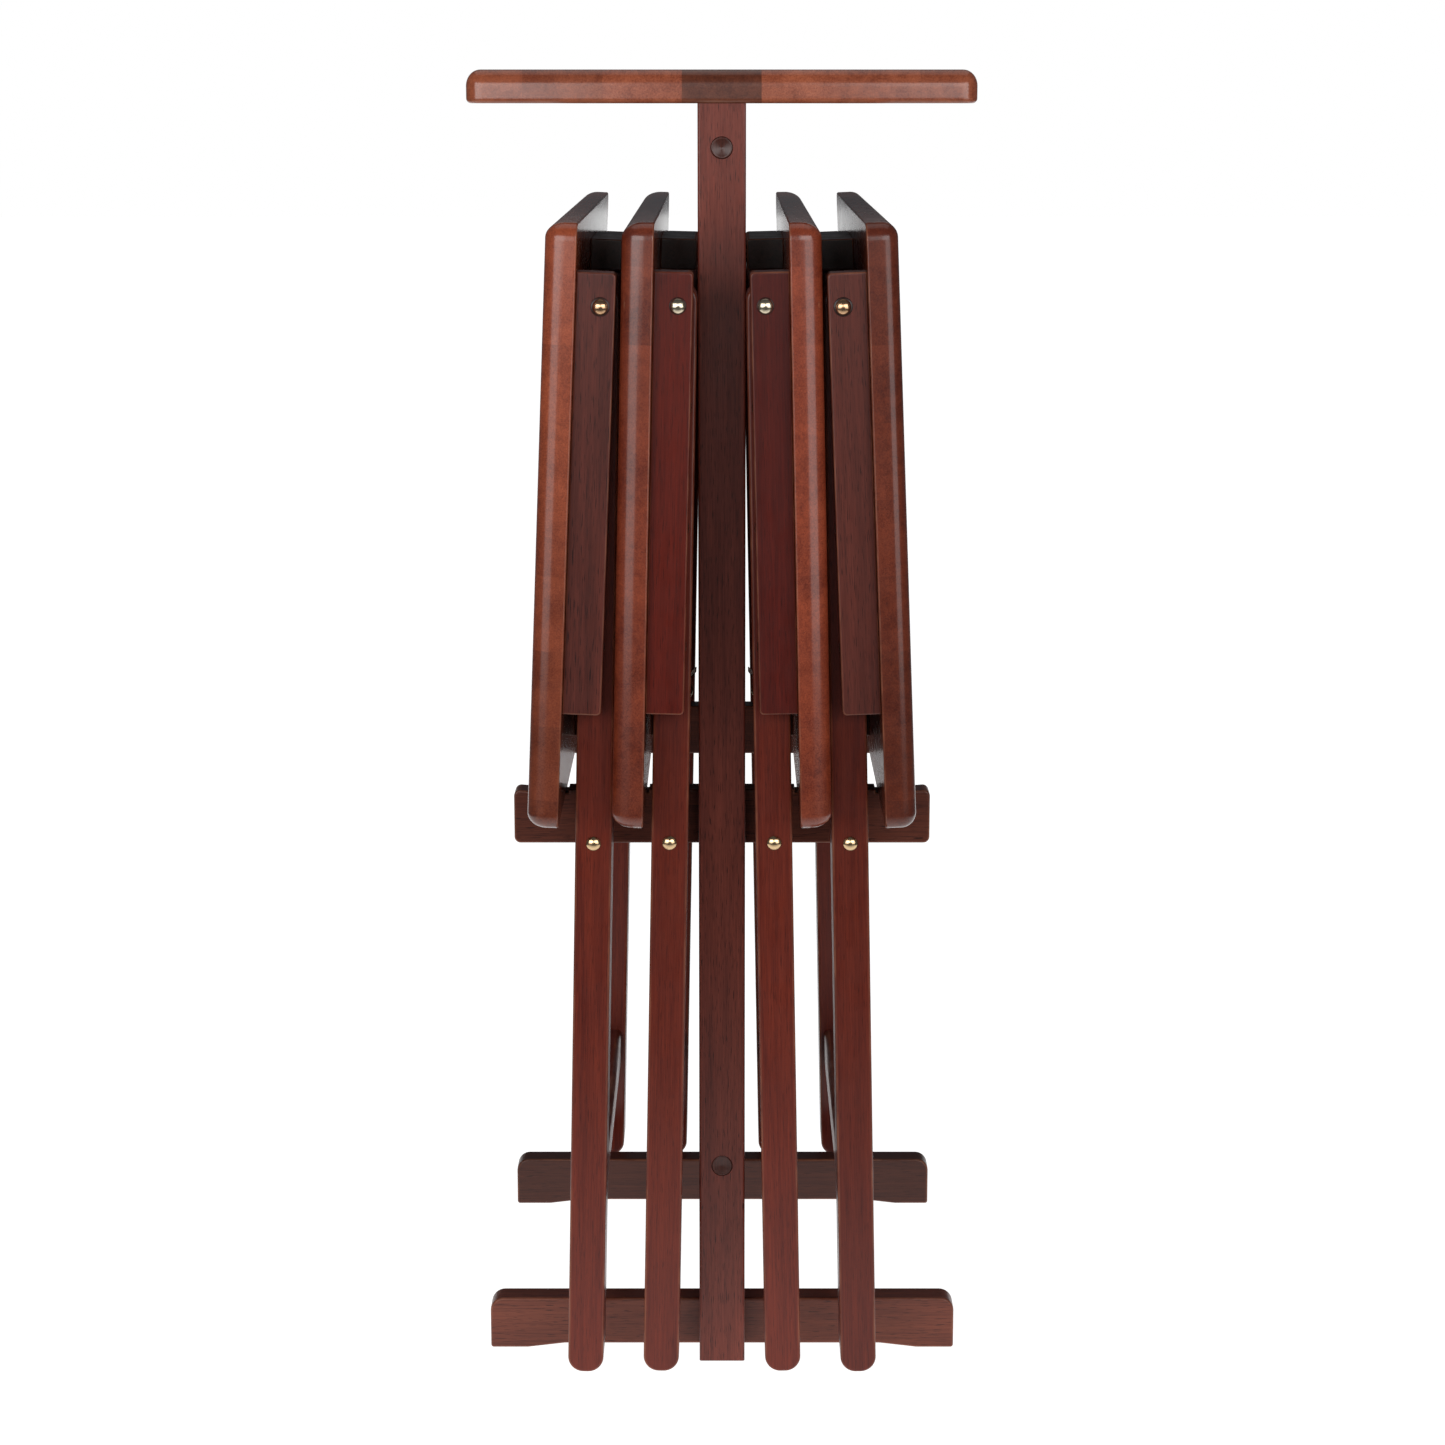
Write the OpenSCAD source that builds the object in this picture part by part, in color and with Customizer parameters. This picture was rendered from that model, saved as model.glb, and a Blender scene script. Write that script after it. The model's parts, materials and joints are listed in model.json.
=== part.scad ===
// A storage stand with four folding tray tables hung on it.
// X runs across the stand, Y runs from front to back and Z is up. The origin is on the
// floor under the middle of the stand. The tables are numbered from left to right.

/* [Stand] */
// Height of the stand, from the floor to the face of its top board
stand_h = 850.5; // [760:0.5:1030]
// Distance between the outer faces of the two posts
stand_depth = 340; // [300:1:372]
// Width and depth of a post's square section
post_w = 30; // [26:1:36]
// Height of a post's lower end above the floor
post_lift = 4; // [1:0.5:6]
// Rounding of the long edges of the posts, rails, feet, arms, battens and legs
edge_r = 1.5; // [0.5:0.5:2]
// Length of the top board across the stand
board_len = 316; // [260:1:380]
// Distance that the top board stands past each post
board_lap = 2; // [0:1:12]
// Thickness of the top board
board_t = 20.5; // [16:0.5:25]
// Rounding of the top board's upper edges
board_edge_r = 5; // [2:0.5:8]

/* [Feet] */
// Length of a foot
foot_len = 313; // [260:1:380]
// Height of a foot
foot_h = 35.5; // [30:0.5:45]
// Thickness of a foot
foot_t = 18; // [15:0.5:22]
// Rounding of a foot's upper corners
foot_r = 9; // [4:0.5:14]
// Length of the pad at each end of a foot
pad_len = 25; // [15:1:40]
// Length of the slope from a pad up to the relief
pad_slope = 25; // [10:1:40]
// Height of the relief under the middle of a foot
foot_relief = 3; // [1:0.5:5]

/* [Arms] */
// Length of an arm
arm_len = 272; // [268:1:310]
// Height of an arm
arm_h = 36; // [30:0.5:45]
// Thickness of an arm
arm_t = 18; // [15:0.5:22]
// Height of an arm's upper edge above the floor
arm_top = 388.5; // [340:0.5:440]
// Rounding of an arm's corners
arm_r = 4; // [2:0.5:5]
// Depth of the notch that a tabletop stands in
notch_depth = 2.2; // [1.5:0.1:3]
// Distance from a notch's inner wall to the tabletop
notch_wall = 1.5; // [0.5:0.1:3]
// Flat floor of a notch, from the tabletop's underside to the ramp
notch_floor = 11; // [10:0.5:14]
// Length of the ramp that leads out of a notch
notch_ramp = 22; // [18:0.5:23]

/* [Rails] */
// Thickness of the front-to-back rails
rail_t = 18; // [16:0.5:22]
// Height of the rails
rail_h = 54; // [40:1:70]
// Height of the lower rail's centre line
lower_rail_z = 141; // [110:1:200]
// Radius of the bolts that hold the rails
bolt_r = 3; // [2.5:0.5:4]
// Radius of the wooden plugs over the bolts
plug_r = 7; // [6:0.5:8]
// Depth of a plug's counterbore
plug_depth = 9; // [8:0.5:12]
// Depth of the cone that is turned into a plug's face
plug_dish = 1.2; // [0.5:0.1:2]

/* [Tray tables] */
// Length of a tabletop, from front to back
top_len = 485; // [470:1:590]
// Width of a tabletop, which stands upright when it is folded
top_wide = 374; // [360:1:380]
// Thickness of a tabletop
top_t = 19.5; // [17:0.5:24]
// Rounding of a tabletop's upper edges and of its corners
top_edge_r = 9.5; // [4:0.5:12]
// Distance from a tabletop's nearer edge to the pivot of the legs
pivot_inset = 49.5; // [46:0.5:56]
// Distance from a tabletop's underside down to the pivot of the legs
pivot_drop = 15; // [14:0.5:18]
// Length of a batten
batten_len = 272; // [240:1:280]
// Height of a batten below the underside
batten_h = 24; // [22:0.5:30]
// Thickness of a batten
batten_t = 19; // [16:0.5:22]
// Distance from a tabletop's end to the batten's outer face
batten_inset = 6; // [3:0.5:12]
// Distance from a batten's near end to the pivot
batten_lead = 20.5; // [16:0.5:26]
// Length of the two blocks under a tabletop
block_len = 93; // [60:1:140]
// Width of the block beside the pivot
rest_block_w = 20.7; // [16:0.1:26]
// Width of the latch block's stop
latch_block_w = 21; // [16:0.5:26]

/* [Legs] */
// Width of a leg
leg_w = 23; // [20:0.5:26]
// Thickness of a leg
leg_t = 18; // [15:0.5:20]
// Rounding of a leg's ends
leg_end_r = 10; // [6:0.5:10]
// Distance between a leg's two pivots
leg_up = 338; // [330:1:352]
// Distance from the middle pivot to a leg's lower end
leg_down = 355; // [330:1:362]
// Radius of the round crossbar between the inner legs
crossbar_r = 9; // [7:0.5:10]
// Height of the stretcher between the inner legs
stretcher_h = 27; // [20:1:40]
// Thickness of the stretcher
stretcher_t = 16; // [12:0.5:20]
// Distance from the legs' lower end up to the stretcher
stretcher_rise = 75; // [60:1:120]
// Radius of the pivot bolts
pin_r = 3; // [2.5:0.5:4]
// Radius of a pivot bolt's domed head
head_r = 4.7; // [4:0.1:6]

/* [Hanging] */
// Gap between a post and an inner table's crossbar
post_gap = 2.4; // [1.6:0.1:6]
// Gap between an outer table's blocks and the inner tabletop
table_gap = 4; // [3.4:0.1:8]
// Lean of an inner table's legs
inner_leg_lean = 1.1; // [0.9:0.05:1.3]
// Lean of an outer table's legs
outer_leg_lean = 1.3; // [1.2:0.05:1.5]
// Lean of an inner tabletop
inner_top_lean = 1.35; // [1.3:0.05:1.6]
// Lean of an outer tabletop
outer_top_lean = 2.4; // [2.2:0.05:2.6]

/* [Fits] */
// Gap between pieces that slide past each other
slide_gap = 0.5; // [0.3:0.1:1]
// Gap under a tabletop in its notch
seat_gap = 0.3; // [0.2:0.05:0.5]
// Radial clearance of a turning pin or tenon
run_fit = 0.05; // [0.02:0.01:0.08]
// Radial clearance round a bolt or a plug that does not turn
bolt_fit = 0.1; // [0.05:0.05:0.3]

/* [Hidden] */
$fn = 48;
WOOD = [0.42, 0.17, 0.10];
WOOD_DARK = [0.33, 0.12, 0.08];
BRASS = [0.80, 0.62, 0.28];
STEEL = [0.62, 0.63, 0.66];

STAND_NODES = [
  "front_post", "rear_post", "front_foot", "rear_foot", "front_arm", "rear_arm",
  "top_board", "upper_rail", "lower_rail", "rail_fittings", "post_plugs", "frame_screws",
];
TABLE_PARTS = [
  "top", "battens", "rest_block", "latch_block", "latch_clips", "top_pivots",
  "outer_legs", "leg_pivots", "crossbar", "inner_legs", "stretcher", "leg_inserts",
];
TABLES = [1, 2, 3, 4];

// Stand
board_under = stand_h - board_t;
board_dep = stand_depth + 2 * board_lap;
rail_len = stand_depth - 2 * post_w;
upper_rail_z = board_under - rail_h / 2;
brace_y = rail_len / 2;
notch_z = arm_top - notch_depth;
corner_r = 10;
foot_screw_z = foot_h / 2;
arm_screw_z = arm_top - arm_h / 2;

// Bolts, plugs, barrel nuts and screws
bolt_head_r = plug_r - 1;
bolt_head_h = 4;
plug_rim = 0.6;
plug_seat = 0.2;
nut_r = 5;
nut_len = rail_t - 4;
nut_inset = 26;
bolt_past_nut = 3;
screw_r = 2;
screw_head_r = 4;
screw_head_h = 2.6;
screw_grip = 17;
screw_pitch = 14;
board_screw_y = 60;
board_screw_bite = 12;
board_screw_pocket = 24;

// Tray table, with its pivot axis on the local Y axis and its top face up
top_y = top_len / 2;
batten_y0 = top_y - batten_inset - batten_t;
outer_leg_y0 = batten_y0 - slide_gap - leg_t;
inner_leg_y0 = outer_leg_y0 - slide_gap - leg_t;
open_angle = 24.2;
stop_x = 2 * leg_up * sin(open_angle);
dowel_gap = 0.3;
clip_gap = 0.4;
block_face = crossbar_r + clip_gap;
latch_far = stop_x + crossbar_r + dowel_gap + latch_block_w;
batten_corner_r = 3;
block_corner_r = 2;
clip_t = 0.8;
clip_w = 16;
clip_grip = 15;
clip_bend = 4;
clip_dip = 3;
clip_crest = 11;
clip_tip = 17;
clip_open = 5;
clip_clear = 1.6;
clip_pressed = table_gap - clip_t - clip_clear;
tenon_r = 6;
tenon_len = leg_t - 4;
head_h = 2.6;
insert_r = 5;
insert_len = leg_t - 4;
stretcher_r = 4;

// Places of the hanging tables
inner_x = post_w / 2 + crossbar_r + post_gap + leg_up * sin(inner_leg_lean);
table_pitch = top_t + max(batten_h, pivot_drop + block_face) + table_gap;

function is_outer(n) = n == 1 || n == 4;
function side(n) = n < 3 ? -1 : 1;
function leg_lean(n) = is_outer(n) ? outer_leg_lean : inner_leg_lean;
function top_lean(n) = is_outer(n) ? outer_top_lean : inner_top_lean;
function pivot_x(n) = inner_x + (is_outer(n) ? table_pitch : 0);
// The tabletop's lower corner stands just above the floor of its notch.
function pivot_z(n) = notch_z + seat_gap - leg_up * cos(leg_lean(n))
  + (top_wide - pivot_inset) * cos(top_lean(n)) - pivot_drop * sin(top_lean(n));
function seat_x(n) = pivot_x(n) - leg_up * sin(leg_lean(n))
  + (top_wide - pivot_inset) * sin(top_lean(n)) + pivot_drop * cos(top_lean(n));

// ---- shared shapes ----

// A bar's outline with its four corners rounded
module bar_outline(w, h, r) {
  square([w - 2 * r, h], center = true);
  square([w, h - 2 * r], center = true);
  for (x = [-1, 1], y = [-1, 1])
    translate([x * (w / 2 - r), y * (h / 2 - r)]) circle(r);
}

// An outline that stands on its lower edge, with its two upper corners rounded
module loaf_outline(w, h, r) {
  translate([-w / 2, 0]) square([w, h - r]);
  translate([-w / 2 + r, 0]) square([w - 2 * r, h]);
  for (x = [-1, 1]) translate([x * (w / 2 - r), h - r]) circle(r);
}

// An outline drawn in X and Z, given a thickness along Y from y0
module along_y(y0, t) {
  translate([0, y0 + t, 0]) rotate([90, 0, 0]) linear_extrude(t) children();
}

// An outline drawn in X and Z, given a thickness along Y from y0, with its edges along X
// eased: w and h are the outline's width and height, and z is its middle height
module eased_along_y(y0, t, w, h, z) {
  intersection() {
    along_y(y0, t) children();
    translate([-w / 2, y0 + t / 2, z]) rotate([90, 0, 90]) linear_extrude(w)
      bar_outline(t, h, edge_r);
  }
}

// A board with rounded corners and its upper edges rounded over
module soft_board(lx, ly, t, edge_r, plan_r) {
  intersection() {
    linear_extrude(t) bar_outline(lx, ly, plan_r);
    along_y(-ly / 2 - 1, ly + 2) loaf_outline(lx, t, edge_r);
    rotate([0, 0, 90]) along_y(-lx / 2 - 1, lx + 2) loaf_outline(ly, t, edge_r);
  }
}

// The front and the rear copy of a piece that is drawn at the front
module front_and_rear() {
  children();
  mirror([0, 1, 0]) children();
}

// A rod along +Y from y0
module rod_y(r, y0, len) {
  translate([0, y0, 0]) rotate([-90, 0, 0]) cylinder(r = r, h = len);
}

// A domed head whose flat face lies at the origin and whose dome points along -Y
module dome(r, h) {
  ball = (r * r + h * h) / (2 * h);
  rotate([90, 0, 0]) intersection() {
    cylinder(r = r, h = h);
    translate([0, 0, h - ball]) sphere(ball);
  }
}

// A countersunk screw along -Y: its head is flush with the origin's plane
module screw_body(len, extra = 0) {
  rotate([90, 0, 0]) {
    cylinder(r1 = screw_head_r + extra, r2 = screw_r + extra, h = screw_head_h);
    cylinder(r = screw_r + extra, h = len);
  }
}

// ---- stand ----

// The two screws through a foot or an arm, of thickness t, into the front post at height z
module brace_screws(z, t, extra = 0) {
  for (x = [-1, 1])
    translate([x * screw_pitch / 2, -brace_y + t, z]) screw_body(t + screw_grip, extra);
}

// A rail bolt's hole through the front post and into the rail, at one height
module rail_bolt_hole(z) {
  translate([0, -stand_depth / 2, z]) {
    rod_y(bolt_r + bolt_fit, -1, post_w + nut_inset + nut_r + bolt_past_nut + 2);
    rod_y(plug_r, -1, plug_depth + 1);
  }
}

module front_post() {
  color(WOOD) difference() {
    translate([0, (post_w - stand_depth) / 2, post_lift])
      linear_extrude(board_under - post_lift) bar_outline(post_w, post_w, edge_r);
    for (z = [upper_rail_z, lower_rail_z]) rail_bolt_hole(z);
    brace_screws(foot_screw_z, foot_t, bolt_fit);
    brace_screws(arm_screw_z, arm_t, bolt_fit);
  }
}

module rear_post() mirror([0, 1, 0]) front_post();

module front_foot() {
  color(WOOD) difference() {
    eased_along_y(-brace_y, foot_t, foot_len, foot_h, foot_h / 2) difference() {
      loaf_outline(foot_len, foot_h, foot_r);
      polygon([
        [-foot_len / 2 + pad_len, -1], [-foot_len / 2 + pad_len, 0],
        [-foot_len / 2 + pad_len + pad_slope, foot_relief],
        [foot_len / 2 - pad_len - pad_slope, foot_relief],
        [foot_len / 2 - pad_len, 0], [foot_len / 2 - pad_len, -1],
      ]);
    }
    brace_screws(foot_screw_z, foot_t, bolt_fit);
  }
}

module rear_foot() mirror([0, 1, 0]) front_foot();

// The notch for one right-hand table, drawn in X and Z
module notch_outline(n) {
  x0 = seat_x(n) - notch_wall;
  x1 = seat_x(n) + notch_floor;
  polygon([
    [x0, arm_top + 1], [x0, notch_z], [x1, notch_z], [x1 + notch_ramp, arm_top],
    [x1 + notch_ramp, arm_top + 1],
  ]);
}

module front_arm() {
  color(WOOD) difference() {
    eased_along_y(-brace_y, arm_t, arm_len, arm_h, arm_screw_z) difference() {
      translate([0, arm_screw_z]) bar_outline(arm_len, arm_h, arm_r);
      for (n = [3, 4]) {
        notch_outline(n);
        mirror([1, 0]) notch_outline(n);
      }
    }
    brace_screws(arm_screw_z, arm_t, bolt_fit);
  }
}

module rear_arm() mirror([0, 1, 0]) front_arm();

module top_board() {
  color(WOOD) difference() {
    translate([0, 0, board_under])
      soft_board(board_len, board_dep, board_t, board_edge_r, corner_r);
    board_screws(bolt_fit);
  }
}

// The screws that hold the top board, driven up through the upper rail
module board_screws(extra = 0) {
  for (y = [-1, 1])
    translate([0, y * board_screw_y, board_under - rail_h + board_screw_pocket])
      rotate([-90, 0, 0]) screw_body(rail_h - board_screw_pocket + board_screw_bite, extra);
}

// A front-to-back rail round its centre line, with its bolt holes and nut holes
module rail(z) {
  difference() {
    translate([0, rail_len / 2, z]) rotate([90, 0, 0]) linear_extrude(rail_len)
      bar_outline(rail_t, rail_h, edge_r);
    front_and_rear() {
      rail_bolt_hole(z);
      translate([-rail_t / 2 - 1, -rail_len / 2 + nut_inset, z]) rotate([0, 90, 0])
        cylinder(r = nut_r + bolt_fit, h = nut_len + 1);
    }
  }
}

module upper_rail() {
  color(WOOD_DARK) difference() {
    rail(upper_rail_z);
    board_screws(bolt_fit);
    for (y = [-1, 1])
      translate([0, y * board_screw_y, board_under - rail_h - 1])
        cylinder(r = screw_head_r + bolt_fit, h = board_screw_pocket + 1);
  }
}

module lower_rail() color(WOOD_DARK) rail(lower_rail_z);

// One bolt and its barrel nut, at the front, at one height
module rail_fitting(z) {
  nut_y = -rail_len / 2 + nut_inset;
  head_y = -stand_depth / 2 + plug_depth;
  translate([0, head_y, z]) {
    rod_y(bolt_head_r, -bolt_head_h, bolt_head_h);
    rod_y(bolt_r, -bolt_head_h / 2, nut_y - head_y + nut_r + bolt_past_nut + bolt_head_h / 2);
  }
  difference() {
    translate([-rail_t / 2, nut_y, z]) rotate([0, 90, 0]) cylinder(r = nut_r, h = nut_len);
    translate([0, nut_y, z]) rod_y(bolt_r + run_fit, -nut_r - 1, 2 * nut_r + 2);
  }
}

module rail_fittings() {
  color(STEEL) front_and_rear()
    for (z = [upper_rail_z, lower_rail_z]) rail_fitting(z);
}

// Plugs flush with the posts, each with a shallow cone turned into its face
module post_plugs() {
  dish_r = plug_r - run_fit - plug_rim;
  color(WOOD_DARK) front_and_rear()
    for (z = [upper_rail_z, lower_rail_z]) translate([0, -stand_depth / 2, z]) difference() {
      rod_y(plug_r - run_fit, 0, plug_depth - bolt_head_h - plug_seat);
      rotate([-90, 0, 0]) cylinder(r1 = dish_r, r2 = 0, h = plug_dish);
    }
}

module frame_screws() {
  color(STEEL) {
    front_and_rear() {
      brace_screws(foot_screw_z, foot_t);
      brace_screws(arm_screw_z, arm_t);
    }
    board_screws();
  }
}

// ---- tray tables ----

// Puts a leg, drawn round its middle pivot with Z along the leg, where table n hangs
module hang_legs(n) {
  mirror([side(n) < 0 ? 1 : 0, 0, 0])
    translate([pivot_x(n), 0, pivot_z(n)]) rotate([0, -leg_lean(n), 0]) children();
}

// Puts a piece of the top, drawn round the top pivot with its face up, where table n hangs
module hang_top(n) {
  hang_legs(n) translate([0, 0, leg_up])
    rotate([0, 90 - top_lean(n) + leg_lean(n), 0]) children();
}

module table_top(n) {
  color(WOOD) hang_top(n)
    translate([top_wide / 2 - pivot_inset, 0, pivot_drop])
      soft_board(top_wide, top_len, top_t, top_edge_r, corner_r);
}

module table_battens(n) {
  color(WOOD) hang_top(n) front_and_rear() difference() {
    translate([batten_len / 2 - batten_lead, 0, pivot_drop]) mirror([0, 0, 1])
      eased_along_y(-batten_y0 - batten_t, batten_t, batten_len, batten_h, batten_h / 2)
        loaf_outline(batten_len, batten_h, batten_corner_r);
    rod_y(pin_r + run_fit, -top_y, batten_inset + batten_t + 1);
  }
}

// A block under the top, from x0 to x1, down to its lower face
module block(x0, x1) {
  h = pivot_drop + block_face;
  translate([(x0 + x1) / 2, 0, pivot_drop]) mirror([0, 0, 1])
    along_y(-block_len / 2, block_len) loaf_outline(x1 - x0, h, block_corner_r);
}

module table_rest_block(n) {
  color(WOOD) hang_top(n)
    block(-crossbar_r - dowel_gap - rest_block_w, -crossbar_r - dowel_gap);
}

// The stop that the crossbar meets when the legs are open, with the ledge that rests on it
module table_latch_block(n) {
  ledge_h = pivot_drop - crossbar_r - dowel_gap;
  color(WOOD) hang_top(n) {
    block(latch_far - latch_block_w, latch_far);
    translate([stop_x - crossbar_r, -block_len / 2, pivot_drop - ledge_h])
      cube([latch_far - stop_x, block_len, ledge_h]);
  }
}

// A spring leaf on a block's lower face, with the block's edge at X = 0: it dips below the
// crossbar, rises again to a crest that keeps the crossbar in and flares out at its tip.
// flare is how far the tip stands off the block's face.
module clip(flare) {
  face = [
    [-clip_grip, 0], [-clip_bend, 0], [clip_dip, -flare * 0.6], [clip_crest, 0],
    [clip_tip, -flare],
  ];
  back = [for (i = [4:-1:0]) face[i] - [0, clip_t]];
  translate([0, 0, -block_face]) along_y(-clip_w / 2, clip_w) polygon(concat(face, back));
}

// The leaves of an outer table are pressed in by the tabletop that hangs beside them.
module table_latch_clips(n) {
  flare = is_outer(n) ? clip_pressed : clip_open;
  color(BRASS) hang_top(n) {
    translate([-crossbar_r - dowel_gap, 0, 0]) clip(flare);
    translate([stop_x + crossbar_r + dowel_gap, 0, 0]) mirror([1, 0, 0]) clip(flare);
  }
}

// The bolts that the top turns on: each is tight in its batten and ends inside the leg
module table_top_pivots(n) {
  color(BRASS) hang_top(n) front_and_rear() {
    translate([0, -batten_y0 - batten_t, 0]) dome(head_r, head_h);
    rod_y(pin_r, -batten_y0 - batten_t - head_h / 4, batten_t + leg_t + head_h / 4);
  }
}

// A leg round its middle pivot, from y0, with round ends and eased long edges
module leg(y0) {
  len = leg_up + leg_w / 2 + leg_down;
  intersection() {
    along_y(y0, leg_t) translate([0, len / 2 - leg_down]) bar_outline(leg_w, len, leg_end_r);
    translate([0, y0 + leg_t / 2, -leg_down - 1]) linear_extrude(len + 2)
      bar_outline(leg_w, leg_t, edge_r);
  }
}

module table_outer_legs(n) {
  color(WOOD) hang_legs(n) front_and_rear() difference() {
    leg(-outer_leg_y0 - leg_t);
    for (z = [0, leg_up])
      translate([0, 0, z]) rod_y(pin_r + run_fit, -outer_leg_y0 - leg_t - 1, leg_t + 2);
  }
}

// The bolts at the middle of the legs: each ends in the gap before the inner leg
module table_leg_pivots(n) {
  color(BRASS) hang_legs(n) front_and_rear() {
    translate([0, -outer_leg_y0 - leg_t, 0]) dome(head_r, head_h);
    rod_y(pin_r, -outer_leg_y0 - leg_t - head_h / 4, leg_t + head_h / 4 + slide_gap / 5);
  }
}

module table_crossbar(n) {
  color(WOOD) hang_legs(n) translate([0, 0, leg_up]) {
    rod_y(crossbar_r, -inner_leg_y0 + slide_gap / 5, 2 * inner_leg_y0 - 2 * slide_gap / 5);
    rod_y(tenon_r, -inner_leg_y0 - tenon_len, 2 * (inner_leg_y0 + tenon_len));
  }
}

module table_inner_legs(n) {
  color(WOOD) hang_legs(n) front_and_rear() difference() {
    leg(-inner_leg_y0 - leg_t);
    translate([0, 0, leg_up])
      rod_y(tenon_r + run_fit, -inner_leg_y0 - tenon_len - slide_gap / 5, tenon_len + 2);
    rod_y(insert_r, -inner_leg_y0 - leg_t - 1, insert_len + 1);
  }
}

module table_stretcher(n) {
  color(WOOD) hang_legs(n)
    translate([0, 0, stretcher_rise + stretcher_h / 2 - leg_down])
      along_y(-inner_leg_y0, 2 * inner_leg_y0) bar_outline(stretcher_t, stretcher_h, stretcher_r);
}

// Threaded brass inserts in the inner legs, which take the middle bolts
module table_leg_inserts(n) {
  color(BRASS) hang_legs(n) front_and_rear() difference() {
    rod_y(insert_r, -inner_leg_y0 - leg_t, insert_len);
    rod_y(pin_r - 0.5, -inner_leg_y0 - leg_t - 1, insert_len - 1);
  }
}

front_post();
rear_post();
front_foot();
rear_foot();
front_arm();
rear_arm();
top_board();
upper_rail();
lower_rail();
rail_fittings();
post_plugs();
frame_screws();
for (n = TABLES) {
  table_top(n);
  table_battens(n);
  table_rest_block(n);
  table_latch_block(n);
  table_latch_clips(n);
  table_top_pivots(n);
  table_outer_legs(n);
  table_leg_pivots(n);
  table_crossbar(n);
  table_inner_legs(n);
  table_stretcher(n);
  table_leg_inserts(n);
}
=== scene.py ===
"""Looks of a storage stand with four folding tray tables hung on it.

X runs across the stand, Y from front to back and Z up, in metres, as in the CAD frame.
Sizes in the classes are in millimetres, as a maker writes them, and MM turns them to
metres. Only the studio's are in metres.
"""
import json
import logging
import math
from dataclasses import dataclass, replace
from enum import Enum
from typing import Sequence

import bpy
import numpy as np
from mathutils import Matrix, Vector


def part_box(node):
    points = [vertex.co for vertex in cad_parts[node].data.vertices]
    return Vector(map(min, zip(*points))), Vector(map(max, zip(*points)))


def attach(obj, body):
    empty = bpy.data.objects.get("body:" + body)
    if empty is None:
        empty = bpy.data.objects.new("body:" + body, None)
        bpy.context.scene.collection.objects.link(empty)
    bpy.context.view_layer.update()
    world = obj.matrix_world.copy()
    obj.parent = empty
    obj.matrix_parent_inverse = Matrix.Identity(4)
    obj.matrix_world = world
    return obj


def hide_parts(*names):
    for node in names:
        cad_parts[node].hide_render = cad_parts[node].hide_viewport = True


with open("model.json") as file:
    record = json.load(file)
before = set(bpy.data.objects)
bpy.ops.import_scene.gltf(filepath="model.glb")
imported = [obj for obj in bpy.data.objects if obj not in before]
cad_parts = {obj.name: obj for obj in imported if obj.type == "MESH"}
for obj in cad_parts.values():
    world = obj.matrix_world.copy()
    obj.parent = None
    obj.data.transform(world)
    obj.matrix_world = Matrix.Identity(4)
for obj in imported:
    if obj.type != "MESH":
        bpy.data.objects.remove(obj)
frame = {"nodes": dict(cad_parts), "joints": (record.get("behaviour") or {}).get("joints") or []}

MM = 0.001
LOG = logging.getLogger("tray_tables")

Array = np.ndarray
Colour = Point = tuple[float, float, float]
Material, Node, NodeTree, Socket = (bpy.types.Material, bpy.types.Node,
                                    bpy.types.NodeTree, bpy.types.NodeSocket)

QUARTER = math.pi / 2
SHARPEST = 0.03             # mm: smallest radius that a corner shrinks to
STRAIGHT = 0.999999         # largest cosine between two edges of an outline
SUPPORT_SHARE = 0.45        # most of a free edge that one support point may use
WEAR_AND_SHEEN_CORNER = 4.5           # mm: corners of an outline below this radius get pale rubbing and a painted edge highlight
WEAR_AND_SHEEN_EDGE = 6.0             # mm: rounded edges below this radius get pale rubbing and a painted edge highlight
TOUCH = 0.01                # mm: heights closer than this count as the same
MIRROR_X = (-1, 1, 1)
MIRROR_Y = (1, -1, 1)
FACE_DOWN = (1, -1, -1)
FACE_BACK = ((1, 1, -1), (0, 2, 1))


# ---- placing ----

@dataclass(frozen=True)
class Place:
    """A local frame: an origin in metres and three unit axes, one per row of axes."""

    origin: Array
    axes: Array

    def to_world(self, points: Array) -> Array:
        """Places points: origin + u * axis_u + v * axis_v + w * axis_w.

        Args:
            points: Local points in millimetres, in an array whose last axis is u, v, w.

        Returns:
            The points in metres, in the same arrangement.
        """
        return self.origin + (points * MM) @ self.axes

    def mirrored(self) -> bool:
        """Whether the axes are left-handed, so that faces have to be turned over."""
        return bool(np.linalg.det(self.axes) < 0)


def world_place() -> Place:
    """The frame of the stand itself."""
    return Place(np.zeros(3), np.eye(3))


# ---- outlines, all worked out as whole arrays ----

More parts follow.
